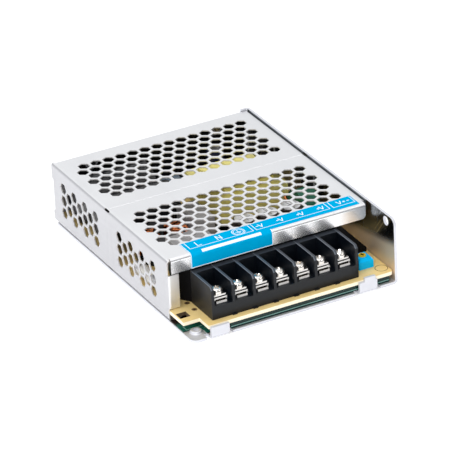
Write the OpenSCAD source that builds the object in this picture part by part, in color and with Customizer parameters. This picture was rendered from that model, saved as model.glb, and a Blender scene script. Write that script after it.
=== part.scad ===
// Enclosed switching power supply: a folded chassis, a perforated folded cover and a row of screw terminals.
// X runs to the right, Y to the back and Z up. The origin is the middle of the base's underside.

/* [Case] */
// Overall width
case_w = 97; // [94:0.5:104]
// Overall length, from the front tabs to the back
case_l = 129; // [125:0.5:138]
// Overall height, to the top of the right wall
case_h = 30; // [29:0.5:36]
// Length of the open tray in front of the cover
tray_l = 21.5; // [20.5:0.5:26]
// Gap between sheets and pieces that lie beside each other
fit_gap = 0.1; // [0.05:0.05:0.3]

/* [Chassis] */
// Sheet thickness of the chassis
chassis_t = 1.2; // [1:0.1:1.6]
// Outside radius of the chassis folds
chassis_fold_r = 2; // [1.7:0.1:2.6]
// Radius of the right wall's front corner and of the base's free corner
corner_r = 3; // [2:0.5:4]
// How far the base's front edge lies behind the tabs' faces
base_setback = 0.7; // [0:0.1:1.5]
// Width of each front tab
tab_w = 8.5; // [7:0.5:10]
// Middle of the left tab, from the left side
left_tab_inset = 12.6; // [11:0.2:16]
// Middle of the right tab, from the right side
right_tab_inset = 14.4; // [11:0.2:16]
// How far the tabs' tops lie below the board's upper face
tab_drop = 0.5; // [0.2:0.1:1.2]
// Width of the hook on the right tab
hook_w = 5.1; // [4:0.1:6]
// How far the hook stands above the board
hook_rise = 1.3; // [0.6:0.1:2]
// Width of the relief notch beside each tab
relief_w = 1.8; // [1:0.2:3]
// Depth of the relief notch beside each tab
relief_d = 3.2; // [2:0.2:5]
// Width of the right wall's return at the back
wall_return_w = 4.4; // [3.5:0.1:6]
// Core diameter of the tapped mounting holes
mount_d = 2.5; // [2:0.1:3.3]
// Distance of the mounting holes from the sides
mount_inset_x = 5; // [4.6:0.1:6]
// Distance of the mounting holes from the front and the back
mount_inset_y = 7.4; // [6.5:0.1:9]
// Outside diameter of the collar drawn up round a tapped hole
collar_d = 5; // [4.2:0.1:6]
// Height of that collar above the sheet
collar_h = 1.2; // [0.8:0.1:2]
// Radius of the collar's foot and of its rim
collar_r = 0.6; // [0.2:0.1:0.6]
// Diameter of the hole at the right wall's front corner
side_hole_d = 4.2; // [3:0.1:4.6]
// Distance of that hole from the wall's front edge
side_hole_inset = 6.6; // [5.5:0.1:9]
// Distance of that hole below the wall's top edge
side_hole_drop = 3; // [2.6:0.1:5]

/* [Cover] */
// Sheet thickness of the cover
cover_t = 0.5; // [0.4:0.1:1.2]
// Outside radius of the cover folds
cover_fold_r = 1.5; // [1.3:0.1:2]
// How far the cover's top lies below the right wall's top
cover_drop = 0.8; // [0.4:0.1:1.4]
// Gap between the front lip's lower edge and the terminal block under it
lip_clear = 1.4; // [0.8:0.1:3]
// Height of the back lip
rear_lip_h = 6.8; // [6:0.2:9]
// Gap between the front lip's right end and the right wall
lip_gap = 1.5; // [1:0.1:3]
// Corner radius at the lips' lower ends
lip_r = 2; // [1:0.2:3]
// Width of the relief slit at the lips' left ends
slit_w = 0.6; // [0.4:0.1:1]
// Width of the left wall's returns at the front and the back
return_w = 5.4; // [4.5:0.1:7]
// Height of the front return's lower end above the board
return_rise = 0.5; // [0.3:0.1:2]
// Width of the foot flange that lies on the base
foot_w = 5.6; // [5.4:0.1:7]
// Height of the flange along the cover's right edge
edge_h = 4; // [3:0.2:5]
// Outside radius of that flange's fold
edge_fold_r = 0.9; // [0.85:0.05:1.3]
// Distance of that flange's front end from the cover's front
edge_setback = 3.5; // [2:0.1:6]
// Distance of the stiffening crease from the back
crease_inset = 52.6; // [48:0.2:58]
// Depth of the crease
crease_d = 0.15; // [0.05:0.05:0.25]
// Length of the relief slots where the crease meets the folds
crease_slot_l = 4; // [2:0.5:6]
// Width of those slots
crease_slot_w = 1; // [0.6:0.1:1.4]

/* [Vents] */
// Pitch of the hexagonal holes
vent_pitch = 5.9; // [5.4:0.1:7]
// Width of a hole across its flats
vent_af = 4.7; // [3:0.1:4.9]
// Distance from the crease to the nearest row of holes
vent_gap = 11.06; // [8:0.1:14]
// Distance of the outermost hole from the cover's left and right sides
vent_margin = 7.55; // [6:0.1:12]
// Least distance of a row of holes from the cover's back edge
vent_end = 8; // [6:0.2:14]
// Holes in a tall column of the left wall
side_vent_count = 3; // [2:1:3]

/* [Label] */
// Thickness of the label
label_t = 0.12; // [0.1:0.01:0.3]
// Depth of the label on the cover's top
label_d = 9.9; // [7:0.1:11]
// Distance of the label's left end from the left side
label_inset_left = 11.4; // [8:0.2:16]
// Distance of the label's right end from the cover's right edge
label_inset_right = 3.4; // [2:0.2:8]
// Length of the part that is folded over the lip
label_fold_l = 38.4; // [20:0.2:60]

/* [Board] */
// Thickness of the circuit board
board_t = 1.6; // [1:0.1:2]
// Height of the posts that carry the board
post_h = 3.2; // [2.8:0.1:5]
// Diameter of the posts
post_d = 5.6; // [5:0.1:6]
// Thickness of the insulating sheet under the board
film_t = 0.4; // [0.2:0.05:0.6]
// Thickness of the fibre sheets behind the terminal block and before the back wall
barrier_t = 0.5; // [0.3:0.05:0.8]
// How far the barrier reaches up behind the cover's lip
barrier_lap = 2.4; // [1:0.1:3]
// Distance of the rear posts from the sides
rear_post_inset_x = 12.5; // [11.5:0.1:14]
// Distance of the front posts from the sides
front_post_inset_x = 8; // [7:0.1:9]
// Distance of the rear posts from the back
rear_post_inset = 7.5; // [7:0.1:9]
// Distance of the front posts behind the cover's front
front_post_inset = 12; // [11:0.1:14]
// Depth of the step cut from the board's front left corner
step_d = 8; // [6:0.2:9]
// Width of that step
step_w = 7.5; // [6:0.2:8]
// Side of the square window in the board
window_w = 4.6; // [3:0.1:5]
// Thread diameter of the board and cover screws
screw_d = 2.9; // [2.5:0.1:3]

/* [Terminals] */
// Number of terminals
terminal_count = 7; // [5:1:7]
// Pitch of the terminals
terminal_pitch = 9.7; // [9:0.1:9.8]
// Thickness of the ribs between the terminals
rib_t = 1.3; // [1:0.1:1.8]
// How far terminals and trimmer lie left of the middle between the cover's return and the right wall
block_shift = -0.3; // [-1:0.1:1]
// Distance of the block's front behind the tabs' faces
block_setback = 4.5; // [3.8:0.1:5.5]
// Depth of the block
block_d = 18.2; // [17:0.2:19]
// Height of the block
block_h = 15; // [13:0.2:16]
// Height of the terminals' floor above the board
block_step_h = 6; // [5.6:0.1:8]
// Chamfer at the ribs' front top corners
rib_chamfer = 1.3; // [0.5:0.1:3]
// Thickness of the block's back wall
block_back_t = 2.9; // [2:0.1:4]
// Diameter of the terminal screws' thread
terminal_screw_d = 3.5; // [3:0.1:4]
// Diameter of the terminal screws' heads
terminal_head_d = 5.8; // [5:0.1:6.4]
// Height of those heads
terminal_head_h = 2.4; // [1.6:0.1:2.6]
// Thickness of the terminal plates
plate_t = 0.9; // [0.6:0.1:1.2]
// Side of the square clamp plates
clamp_w = 6.2; // [5:0.1:7]
// Side of the square washers on the clamp plates
washer_w = 5.4; // [5:0.1:6.2]
// Thickness of the clamp plates and of the washers
clamp_t = 0.7; // [0.5:0.1:1]
// Room for a wire between the terminal plate and the clamp plate
wire_gap = 0.5; // [0.3:0.1:1]
// Gap between the clamp plate and the washer
washer_gap = 0.4; // [0.1:0.1:0.8]

/* [Trimmer] */
// Width of the trimmer
trimmer_w = 6.9; // [6:0.1:7]
// Height of the trimmer's body
trimmer_h = 4.7; // [4.2:0.1:7]
// Gap between the terminal block and the trimmer
trimmer_gap = 2.95; // [1:0.05:4]
// Distance of the trimmer's front behind the tabs' faces
trimmer_setback = 9.1; // [6:0.1:11]
// Diameter of the rotor
rotor_d = 3.2; // [2.6:0.1:4.6]
// Height of the rotor above the body
rotor_rise = 0.5; // [0.2:0.1:1]

/* [Power parts] */
// Free height kept over the tall parts
head_gap = 2; // [1:0.1:4]
// Length of the bulk capacitors
bulk_l = 34; // [25:0.5:36]
// Length of the transformer's core
trafo_l = 32; // [28:0.5:34]
// Width of the transformer's core
trafo_w = 33; // [28:0.5:34]
// Outside diameter of the line filter's ring
choke_d = 20; // [16:0.5:21]
// Outside diameter of the output choke's ring
inductor_d = 17; // [14:0.5:18]
// Diameter of the output capacitors
out_cap_d = 10; // [8:0.2:10.4]
// Height of the output capacitors
out_cap_h = 18; // [12:0.5:19]

/* [Hidden] */
$fn = 48;
// How far pieces of one solid run into each other, and how far a cut runs past a face
eps = 0.01;
cut = 1;

// Faces of the case
x_left = -case_w / 2;
x_right = case_w / 2;
y_front = -case_l / 2;
y_back = case_l / 2;
wall_in = x_right - chassis_t;
cover_in = x_left + cover_t;
cover_right = wall_in - fit_gap;
cover_top = case_h - cover_drop;
cover_under = cover_top - cover_t;
cover_front = y_front + tray_l;
base_front = y_front + base_setback;
rear_out = y_back - cover_t - fit_gap;
rear_in = rear_out - chassis_t;
base_back = rear_out - chassis_fold_r;
crease_y = y_back - crease_inset;
film_top = chassis_t + film_t;
board_under = chassis_t + post_h;
board_top = board_under + board_t;
step_top = board_top + block_step_h;
block_top = board_top + block_h;
lip_bottom = block_top + lip_clear;
lip_h = cover_top - lip_bottom;
rear_lip_bottom = cover_top - rear_lip_h;

// Chassis: gaps beside the back wall and the wall's return, and places of its tabs and holes
return_clear = 0.4;
rear_wall_x0 = x_left + cover_fold_r + fit_gap;
rear_wall_x1 = x_right - wall_return_w - return_clear;
rear_wall_top = cover_top - cover_fold_r - fit_gap;
hook_shift = 0.9;
left_tab_x = x_left + left_tab_inset;
right_tab_x = x_right - right_tab_inset;
mount_places = [for (sx = [-1, 1], sy = [-1, 1])
    [sx * (x_right - mount_inset_x), sy * (y_back - mount_inset_y)]];
side_hole_y = base_front + side_hole_inset;
side_hole_z = case_h - side_hole_drop;
post_ys = [cover_front + front_post_inset, y_back - rear_post_inset];
post_xs = [x_right - front_post_inset_x, x_right - rear_post_inset_x];
post_places = [for (sx = [-1, 1], end = [0, 1]) [sx * post_xs[end], post_ys[end]]];

// Cover: ends of its lips, returns and foot flange
lip_x0 = x_left + cover_fold_r + slit_w;
lip_x1 = wall_in - lip_gap;
front_return_top = lip_bottom - slit_w;
rear_return_top = rear_lip_bottom - slit_w;
return_bottom = board_top + return_rise;
foot_clear = 1.6;
foot_y0 = post_ys[0] + post_d / 2 + foot_clear;
foot_y1 = y_back - mount_inset_y - collar_d / 2 - foot_clear;
fold_mid = cover_fold_r * (1 - sqrt(0.5));
edge_fold_mid = edge_fold_r * (1 - sqrt(0.5));

// Screws: countersunk ones hold the cover, pan heads hold the board and the clamps
screw_fit = 0.05;
hole_r = screw_d / 2 + screw_fit;
csk_flare = 1.3;
csk_r = screw_d / 2 + csk_flare;
csk_sink = 0.05;
tip_clear = 0.6;
cover_screw_l = board_under - tip_clear;
pan_d = 5.6;
pan_h = 2;
pan_rim = 0.6;
pan_crown = 0.7;
recess_w = 2.8;
recess_d = 1;
rear_screw_inset = 18;
rear_screw_xs = [x_left + rear_screw_inset, x_right - rear_screw_inset];
rear_screw_z = cover_top - (cover_t + rear_lip_h) / 2;
foot_collar_d = 4.6;
foot_screw_x = x_left + foot_w - foot_collar_d / 2 - fit_gap;
foot_screw_end = 8;
foot_screw_ys = [foot_y0 + foot_screw_end, foot_y1 - foot_screw_end];

// Vent pattern
vent_row = vent_pitch * sin(60);
vent_r = vent_af / 2 / cos(30);
vent_x0 = x_left + vent_margin + vent_pitch / 2;
vent_cols = floor((cover_right - x_left - 2 * vent_margin - vent_pitch / 2) / vent_pitch) + 1;
label_clear = 2.5;
rear_rows = floor((y_back - vent_end - crease_y - vent_gap) / vent_row) + 1;
front_rows = floor((crease_y - vent_gap - cover_front - label_d - label_clear) / vent_row) + 1;
side_vent_z = (cover_top + chassis_t) / 2;

// Label
label_x0 = x_left + label_inset_left;
label_x1 = cover_right - label_inset_right;
label_edge = 0.2;

// Board outline, its small holes and the film under it
board_gap = 0.35;
tab_clear = 0.15;
board_left = cover_in + board_gap;
board_right = wall_in - board_gap;
board_front = y_front + chassis_t + tab_clear;
tongue_left = x_left + board_gap;
tongue_back = cover_front - fit_gap;
step_x = tongue_left + step_w;
board_corner_r = 1.5;
window_inset_x = 3.3;
window_inset_y = 5.9;
window_x = x_left + window_inset_x;
window_y = board_front + step_d + window_inset_y;
pin_hole_d = 1.4;
pin_hole_gap = 1.8;
pin_hole_first = 1.85;
pin_hole_pitch = 6.4;
film_clear = 0.8;
film_setback = 1.3;
film_left = x_left + foot_w + film_clear;
film_right = wall_in - chassis_fold_r;
film_front = base_front + film_setback;
film_back = base_back;
board_back = film_back - barrier_t - board_gap;

// Terminal block
block_l = terminal_count * terminal_pitch + rib_t;
row_l = block_l + trimmer_gap + trimmer_w;
block_x0 = (x_left + return_w + wall_in - row_l) / 2 - block_shift;
block_x1 = block_x0 + block_l;
block_front = y_front + block_setback;
block_back = block_front + block_d;
bay_back = block_back - block_back_t;
block_foot_w = 2.2;
block_foot_d = 0.6;
plate_w = 4.8;
plate_setback = 1.7;
plate_end = 2;
plate_upstand = 2.2;
plate_front = block_front + plate_setback;
plate_back = bay_back - plate_end;
terminal_inset = 4.2;
terminal_y = plate_front + terminal_inset;
terminal_hole_d = terminal_screw_d + 2 * fit_gap;
clamp_z = step_top + plate_t + wire_gap;
washer_z = clamp_z + clamp_t + washer_gap;
terminal_head_z = washer_z + clamp_t;
terminal_sink = 4.4;
terminal_screw_z0 = step_top - terminal_sink;
terminal_xs = [for (i = [0 : terminal_count - 1]) block_x0 + rib_t / 2 + (i + 0.5) * terminal_pitch];

// Barrier behind the block
barrier_side_gap = 0.6;
barrier_x0 = block_x0 + rib_t / 2;
barrier_x1 = board_right - barrier_side_gap;
barrier_top = lip_bottom + barrier_lap;
barrier_wing = [4.2, 6.2];
barrier_corner = [15, 16.8];
rear_sheet_drop = 0.4;
rear_sheet_top = rear_wall_top - rear_sheet_drop;

// Trimmer
trimmer_x = block_x1 + trimmer_gap + trimmer_w / 2;
trimmer_y = y_front + trimmer_setback + trimmer_w / 2;
trimmer_base_h = 3.4;
trimmer_taper = 0.8;
rotor_stem_d = 1.6;
rotor_stem_l = 1.5;
rotor_fit = 0.06;
rotor_sink = 0.8;
rotor_slot_w = 2.4;

// Leads and gaps shared by the parts on the board
lead_d = 0.8;
lead_pitch = 2.54;
part_gap = 1.4;
lying_gap = 0.05;

// Bulk capacitors in front of the rear posts' screws and resistors beside the rear one
bulk_top_gap = 0.4;
bulk_d = cover_under - head_gap - bulk_top_gap - board_top;
bulk_inset = 3;
bulk_x0 = cover_in + bulk_inset;
bulk_post_gap = 6.8;
bulk_y = post_ys[1] - pan_d / 2 - bulk_post_gap;
bulk_ys = [bulk_y, bulk_y - bulk_d - part_gap];
bulk_z = board_top + bulk_d / 2 + lying_gap;
bulk_edge = 0.8;
bulk_groove = 0.5;
bulk_groove_inset = 3;
bulk_lead_l = 2.5;
bulk_x1 = bulk_x0 + bulk_l + bulk_lead_l;
resistor_d = 4.4;
resistor_l = 12;
resistor_lead = 1.5;
resistor_pitch = 6;
resistor_gap = 5.5;
resistor_shift = 10.6;
resistor_x = bulk_x1 + resistor_gap;

// Line filter in front of the bulk capacitors: a ring choke with a box capacitor before and one beside it
ring_w = 5;
ring_h = 8;
wire_d = 1.4;
choke_inset = 20.7;
choke_x = cover_in + choke_inset;
choke_y = bulk_ys[1] - bulk_d / 2 - part_gap - wire_d - choke_d / 2;
choke_sweep = 130;
carrier_h = 1.6;
box_cap = [18, 9, 15];
box_cap_inset = 15.7;
box_cap_x = cover_in + box_cap_inset;
box_cap_y = choke_y - choke_d / 2 - wire_d - part_gap - box_cap[1];
side_cap_shift = 7;
side_cap_x = choke_x + choke_d / 2 + wire_d + part_gap;
side_cap_y = choke_y - side_cap_shift;

// Line inlet behind the terminals: fuse, thermistor, bridge and safety capacitors
fuse_d = 5.2;
fuse_l = 20;
fuse_cap_l = 5;
fuse_cap_t = 0.2;
fuse_cap_d = fuse_d + 2 * fuse_cap_t;
fuse_inset = 4.5;
fuse_gap = 2.6;
fuse_x = cover_in + fuse_inset;
fuse_y = post_ys[0] + pan_d / 2 + fuse_gap;
thermistor_d = 10;
thermistor_t = 4;
thermistor_lead_h = 1.5;
thermistor_inset = 11.2;
thermistor_setback = 17;
thermistor_x = cover_in + thermistor_inset;
thermistor_y = cover_front + thermistor_setback;
bridge_w = 21;
bridge_t = 3.6;
bridge_h = 14;
bridge_lead_h = 2.5;
bridge_cut = 3;
bridge_inset = 13.7;
bridge_setback = 6.5;
bridge_lead_inset = 2;
bridge_x = cover_in + bridge_inset;
bridge_y = cover_front + bridge_setback;
disc_d = 8;
disc_t = 3.6;
disc_lead_h = 2;
disc_gap = 0.7;
disc_pitch = 5.6;
disc_setback = 11;
disc_x = bridge_x + bridge_w + disc_gap;
disc_y = cover_front + disc_setback;

// Semiconductors clamped to the right wall
device_w = 10;
device_d = 4.5;
device_h = 15;
device_lead_w = 0.9;
device_lead_t = 0.6;
device_edge_gap = 0.7;
device_top = cover_top - edge_h - device_edge_gap;
device_mid = device_top - device_h / 2;
rear_device_inset = 20;
front_device_shift = 8.9;
pad_t = 0.3;
pad_margin = 0.6;
spring_t = 0.6;
spring_w = 8;
spring_h = 8;
spring_gap = 1;
spring_tip = 3;
device_front = wall_in - pad_t - device_d - spring_t;

// Transformer between the bulk capacitors' leads and the semiconductors, with the control parts behind it
trafo_leg = 4;
trafo_core_h = 12;
trafo_post_w = 8;
trafo_win_l = trafo_l - 2 * trafo_leg - 2 * fit_gap;
trafo_win_w = trafo_w - 2 * trafo_leg - 2 * fit_gap;
trafo_rear_gap = 28;
tape_t = 0.3;
tape_h = 11.4;
trafo_x = (bulk_x1 + device_front) / 2;
trafo_y = rear_in - trafo_rear_gap - trafo_w / 2;
trafo_front = trafo_y - trafo_w / 2 - tape_t;
trafo_back = trafo_y + trafo_w / 2 + tape_t;
trafo_top = cover_under - head_gap;
bobbin_h = 3;
bobbin_foot = 1;
bobbin_pins = 5;
bobbin_pin_pitch = 5;
bobbin_pin_inset = 2;
trafo_mid = (board_top + bobbin_h + trafo_top) / 2;
core_top = trafo_mid + trafo_core_h / 2;
chip_w = 6.4;
chip_h = 3.4;
chip_lead_h = 0.8;
chip_lead_w = 0.7;
chip_lead_t = 0.4;
control_l = 9.6;
control_pins = 4;
control_gap = 8.3;
control_y = trafo_back + control_gap;
opto_l = 4.8;
opto_pins = 2;
opto_shift = 16.2;
opto_x = trafo_x + opto_shift;
supply_d = 8;
supply_h = 16;
supply_shift = 7.9;
supply_gap = 17.2;
supply_x = trafo_x + supply_shift;
supply_y = trafo_back + supply_gap;

// Output side in front of the transformer: a ring choke on its edge and a row of capacitors
inductor_inset = 12.3;
inductor_gap = 0.7;
inductor_x = wall_in - inductor_inset;
inductor_r = inductor_d / 2 + wire_d;
inductor_y = trafo_front - inductor_gap - inductor_r;
inductor_sweep = 250;
out_cap_count = 3;
out_cap_space = 1;
out_cap_pitch = out_cap_d + out_cap_space;
out_cap_inset = 23.7;
out_cap_gap = 14;
out_cap_x = wall_in - out_cap_inset;
out_cap_y = trafo_front - out_cap_gap - out_cap_d / 2;

// Places of the semiconductors along the right wall
device_ys = [y_back - rear_device_inset, trafo_y - front_device_shift];

function spring_y(y) = y + device_w / 2 + spring_gap;

// Helpers: a quarter of a folded sheet's ring, and profiles drawn along each axis

module fold(r, t, turn) {
    rotate(turn)
        intersection() {
            difference() {
                circle(r);
                circle(r - t);
            }
            square(r);
        }
}

module along_x(x0, x1) {
    translate([x0, 0, 0])
        rotate([90, 0, 90])
            linear_extrude(x1 - x0) children();
}

module along_y(y0, y1) {
    translate([0, y1, 0])
        rotate([90, 0, 0])
            linear_extrude(y1 - y0) children();
}

module along_z(z0, z1) {
    translate([0, 0, z0])
        linear_extrude(z1 - z0) children();
}

module span(x0, x1, y0, y1, z0, z1) {
    translate([x0, y0, z0]) cube([x1 - x0, y1 - y0, z1 - z0]);
}

// What a round corner leaves of a square one, at the origin with its arc towards -X and -Y
module corner_scrap(r) {
    difference() {
        translate([-r, -r]) square(r + cut);
        translate([-r, -r]) circle(r);
    }
}

// Hole for a pin along Z from z0 to z1
module bore(x, y, z0, z1, r) {
    translate([x, y, z0]) cylinder(h = z1 - z0, r = r);
}

// Space of a countersunk screw that points up from its head's face
module csk_hole(l) {
    head_r = csk_r + fit_gap / 2;
    translate([0, 0, -eps]) cylinder(h = csk_sink + 2 * eps, r = head_r);
    translate([0, 0, csk_sink]) cylinder(h = csk_flare, r1 = head_r, r2 = hole_r);
    translate([0, 0, csk_sink]) cylinder(h = l, r = hole_r);
}

module cross_recess(w, d) {
    for (turn = [0, 90])
        rotate(turn) translate([-w / 2, -w / 8, -d]) cube([w, w / 4, d + cut]);
}

module csk_screw(l) {
    difference() {
        union() {
            translate([0, 0, csk_sink]) cylinder(h = csk_flare, r1 = csk_r, r2 = screw_d / 2);
            translate([0, 0, csk_sink]) cylinder(h = l - csk_sink, r = screw_d / 2);
        }
        translate([0, 0, csk_sink]) mirror([0, 0, 1]) cross_recess(recess_w, recess_d);
    }
}

// Pan head screw that points down from the face its head sits on
module pan_screw(d, head_d, head_h, l) {
    rim = head_h * pan_rim;
    difference() {
        union() {
            cylinder(h = rim, d = head_d);
            translate([0, 0, rim]) cylinder(h = head_h - rim, d1 = head_d, d2 = head_d * pan_crown);
            translate([0, 0, -l]) cylinder(h = l + eps, d = d);
        }
        translate([0, 0, head_h]) cross_recess(recess_w * head_d / pan_d, recess_d * head_h / pan_h);
    }
}

// Places of the cover's countersunk screws, two through the back lip and two through the base
module at_cover_screws() {
    for (x = rear_screw_xs)
        translate([x, y_back, rear_screw_z]) rotate([90, 0, 0]) children();
    for (y = foot_screw_ys)
        translate([foot_screw_x, y, 0]) children();
}

// Chassis: base, right wall with its return, back wall and the front tabs, all from one sheet

module base_and_wall_profile() {
    translate([x_left, 0]) square([case_w - chassis_fold_r, chassis_t]);
    translate([x_right - chassis_fold_r, chassis_fold_r]) fold(chassis_fold_r, chassis_t, -90);
    wall_profile();
}

module wall_profile() {
    translate([wall_in, chassis_fold_r]) square([chassis_t, case_h - chassis_fold_r]);
}

module rear_wall_profile() {
    translate([base_back, chassis_fold_r]) fold(chassis_fold_r, chassis_t, -90);
    translate([rear_in, chassis_fold_r]) square([chassis_t, rear_wall_top - chassis_fold_r]);
}

module wall_return_profile() {
    translate([x_right - chassis_fold_r, y_back - chassis_fold_r]) fold(chassis_fold_r, chassis_t, 0);
    translate([x_right - wall_return_w, y_back - chassis_t])
        square([wall_return_w - chassis_fold_r, chassis_t]);
}

module tab_profile(top) {
    translate([y_front + chassis_fold_r, chassis_fold_r]) fold(chassis_fold_r, chassis_t, 180);
    translate([y_front, chassis_fold_r]) square([chassis_t, top - chassis_fold_r]);
}

module tab(x, w, top) {
    along_x(x - w / 2, x + w / 2) tab_profile(top);
}

module tab_reliefs(x) {
    for (x0 = [x - tab_w / 2 - relief_w, x + tab_w / 2])
        span(x0, x0 + relief_w, y_front - cut, base_front + relief_d, -cut, chassis_t + cut);
    span(x - tab_w / 2, x + tab_w / 2, y_front - cut, y_front + chassis_fold_r, -cut, chassis_t + cut);
}

// Outline of a drawn collar, with a round foot and a round rim
module collar_profile() {
    r = collar_d / 2;
    top = chassis_t + collar_h;
    square([r, top - collar_r]);
    square([r - collar_r, top]);
    translate([r - collar_r, top - collar_r]) intersection() {
        circle(collar_r);
        square(collar_r);
    }
    difference() {
        translate([r - eps, chassis_t - eps]) square(collar_r + eps);
        translate([r + collar_r, chassis_t + collar_r]) circle(collar_r);
    }
}

module chassis() color([0.84, 0.84, 0.87]) {
    difference() {
        union() {
            difference() {
                along_y(base_front, base_back) base_and_wall_profile();
                tab_reliefs(left_tab_x);
                tab_reliefs(right_tab_x);
            }
            along_y(base_back, y_back - chassis_fold_r) wall_profile();
            along_z(chassis_fold_r, case_h) wall_return_profile();
            along_x(rear_wall_x0, rear_wall_x1) rear_wall_profile();
            tab(left_tab_x, tab_w, board_top - tab_drop);
            tab(right_tab_x, tab_w, board_top - tab_drop);
            tab(right_tab_x + hook_shift, hook_w, board_top + hook_rise);
            for (p = mount_places)
                translate(p) rotate_extrude() collar_profile();
            for (x = rear_screw_xs)
                translate([x, rear_in - collar_h, rear_screw_z])
                    rotate([-90, 0, 0]) cylinder(h = collar_h + chassis_t, d = collar_d);
        }
        for (p = mount_places)
            bore(p[0], p[1], -cut, chassis_t + collar_h + cut, mount_d / 2);
        for (p = post_places)
            bore(p[0], p[1], -cut, chassis_t + cut, hole_r);
        translate([wall_in - cut, side_hole_y, side_hole_z])
            rotate([0, 90, 0]) cylinder(h = chassis_t + 2 * cut, d = side_hole_d);
        for (y = device_ys)
            translate([wall_in - cut, spring_y(y) + spring_w / 2, device_mid])
                rotate([0, 90, 0]) cylinder(h = chassis_t + 2 * cut, r = hole_r);
        at_cover_screws() csk_hole(cover_screw_l + cut);
        translate([x_left, base_front, -cut]) rotate(180)
            linear_extrude(chassis_t + 2 * cut) corner_scrap(corner_r);
        translate([wall_in - cut, base_front, case_h]) rotate([90, 0, 90]) rotate(90)
            linear_extrude(chassis_t + 2 * cut) corner_scrap(corner_r);
    }
}

// Cover: top, left wall, foot flange, right edge, lips and returns, all from one thinner sheet

module cover_profile() {
    r = cover_fold_r;
    t = cover_t;
    translate([x_left + r, cover_under]) square([cover_right - x_left - r - edge_fold_r, t]);
    translate([x_left + r, cover_top - r]) fold(r, t, 90);
    translate([x_left, chassis_t + r]) square([t, cover_top - chassis_t - 2 * r]);
    translate([x_left + r, chassis_t + r]) fold(r, t, 180);
    translate([x_left + r, chassis_t]) square([foot_w - r, t]);
    translate([cover_right - edge_fold_r, cover_top - edge_fold_r]) fold(edge_fold_r, t, 0);
    translate([cover_right - t, cover_top - edge_h]) square([t, edge_h - edge_fold_r]);
}

module lip_profile(y_face, turn, bottom) {
    side = turn == 90 ? 1 : -1;
    translate([y_face + side * cover_fold_r, cover_top - cover_fold_r]) fold(cover_fold_r, cover_t, turn);
    translate([turn == 90 ? y_face : y_face - cover_t, bottom])
        square([cover_t, cover_top - bottom - cover_fold_r]);
}

module return_profile(y_face, turn) {
    side = turn == 180 ? 1 : -1;
    translate([x_left + cover_fold_r, y_face + side * cover_fold_r]) fold(cover_fold_r, cover_t, turn);
    translate([x_left + cover_fold_r, turn == 180 ? y_face : y_face - cover_t])
        square([return_w - cover_fold_r, cover_t]);
}

module lip(x0, x1, y_face, turn, bottom) {
    reach = cover_fold_r + cut;
    difference() {
        along_x(x0, x1) lip_profile(y_face, turn, bottom);
        translate([x1, y_face + reach, bottom]) rotate([90, 0, 0]) rotate(-90)
            linear_extrude(2 * reach) corner_scrap(lip_r);
    }
}

// Sheet that is taken away where the lips and returns are folded and where the foot ends
module cover_corner_cuts() {
    r = cover_fold_r;
    span(x_left + r, lip_x1, cover_front - cut, cover_front + r, cover_top - r, case_h);
    span(x_left + r, rear_wall_x1, y_back - r, y_back + cut, cover_top - r, case_h);
    span(lip_x1, x_right, cover_front - cut, cover_front + edge_setback, cover_top - edge_h - cut, case_h);
    span(rear_wall_x1, x_right, y_back - chassis_t - return_clear, y_back + cut,
        rear_lip_bottom - cut, case_h);
    span(cover_right - cover_t - fit_gap, x_right, y_back - chassis_fold_r - return_clear, y_back + cut,
        rear_lip_bottom - cut, case_h);
    span(x_left - cut, x_left + r, cover_front - cut, cover_front + r, return_bottom, front_return_top);
    span(x_left - cut, x_left + r, y_back - r, y_back + cut, return_bottom, rear_return_top);
    for (ends = [[cover_front - cut, foot_y0], [foot_y1, y_back + cut]])
        span(x_left + r, x_left + foot_w + cut, ends[0], ends[1], 0, chassis_t + r);
}

module hex(r) {
    circle(r, $fn = 6);
}

// Hexagonal holes of one group, counted away from the crease
module top_vents(side, rows) {
    for (k = [0 : rows - 1], c = [0 : vent_cols - 1])
        translate([vent_x0 + (c - (k % 2) / 2) * vent_pitch, crease_y + side * (vent_gap + k * vent_row)])
            rotate(90) hex(vent_r);
}

module side_vents(side, rows) {
    for (k = [0 : rows - 1], c = [0 : side_vent_count - 1 - k % 2])
        translate([crease_y + side * (vent_gap + k * vent_row),
            side_vent_z + (c - (side_vent_count - 1 - k % 2) / 2) * vent_pitch])
            hex(vent_r);
}

module crease_section() {
    polygon([[-crease_d, 0], [0, -crease_d], [crease_d, 0], [0, crease_d]]);
}

module crease_slot(x, z, turn) {
    translate([x, crease_y, z]) rotate([0, turn, 0])
        cube([crease_slot_w, crease_slot_l, 4 * cover_fold_r], center = true);
}

module cover() color([0.88, 0.88, 0.90]) {
    difference() {
        union() {
            difference() {
                along_y(cover_front, y_back) cover_profile();
                cover_corner_cuts();
            }
            lip(lip_x0, lip_x1, cover_front, 90, lip_bottom);
            lip(lip_x0, rear_wall_x1, y_back, 0, rear_lip_bottom);
            along_z(return_bottom, front_return_top) return_profile(cover_front, 180);
            along_z(return_bottom, rear_return_top) return_profile(y_back, 90);
            for (y = foot_screw_ys)
                translate([foot_screw_x, y, chassis_t]) cylinder(h = cover_t + collar_h, d = foot_collar_d);
        }
        along_z(cover_under - cut, case_h) {
            top_vents(1, rear_rows);
            top_vents(-1, front_rows);
        }
        along_x(x_left - cut, cover_in + cut) {
            side_vents(1, rear_rows);
            side_vents(-1, front_rows);
        }
        along_x(x_left + cover_fold_r, cover_right - edge_fold_r)
            translate([crease_y, cover_top]) crease_section();
        along_z(chassis_t + cover_fold_r, cover_top - cover_fold_r)
            translate([x_left, crease_y]) crease_section();
        crease_slot(x_left + fold_mid, cover_top - fold_mid, -45);
        crease_slot(x_left + fold_mid, chassis_t + fold_mid, 45);
        crease_slot(cover_right - edge_fold_mid, cover_top - edge_fold_mid, 45);
        at_cover_screws() csk_hole(cover_screw_l + cut);
    }
}

// Label: a strip on the cover's top whose left part is folded down over the lip

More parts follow.
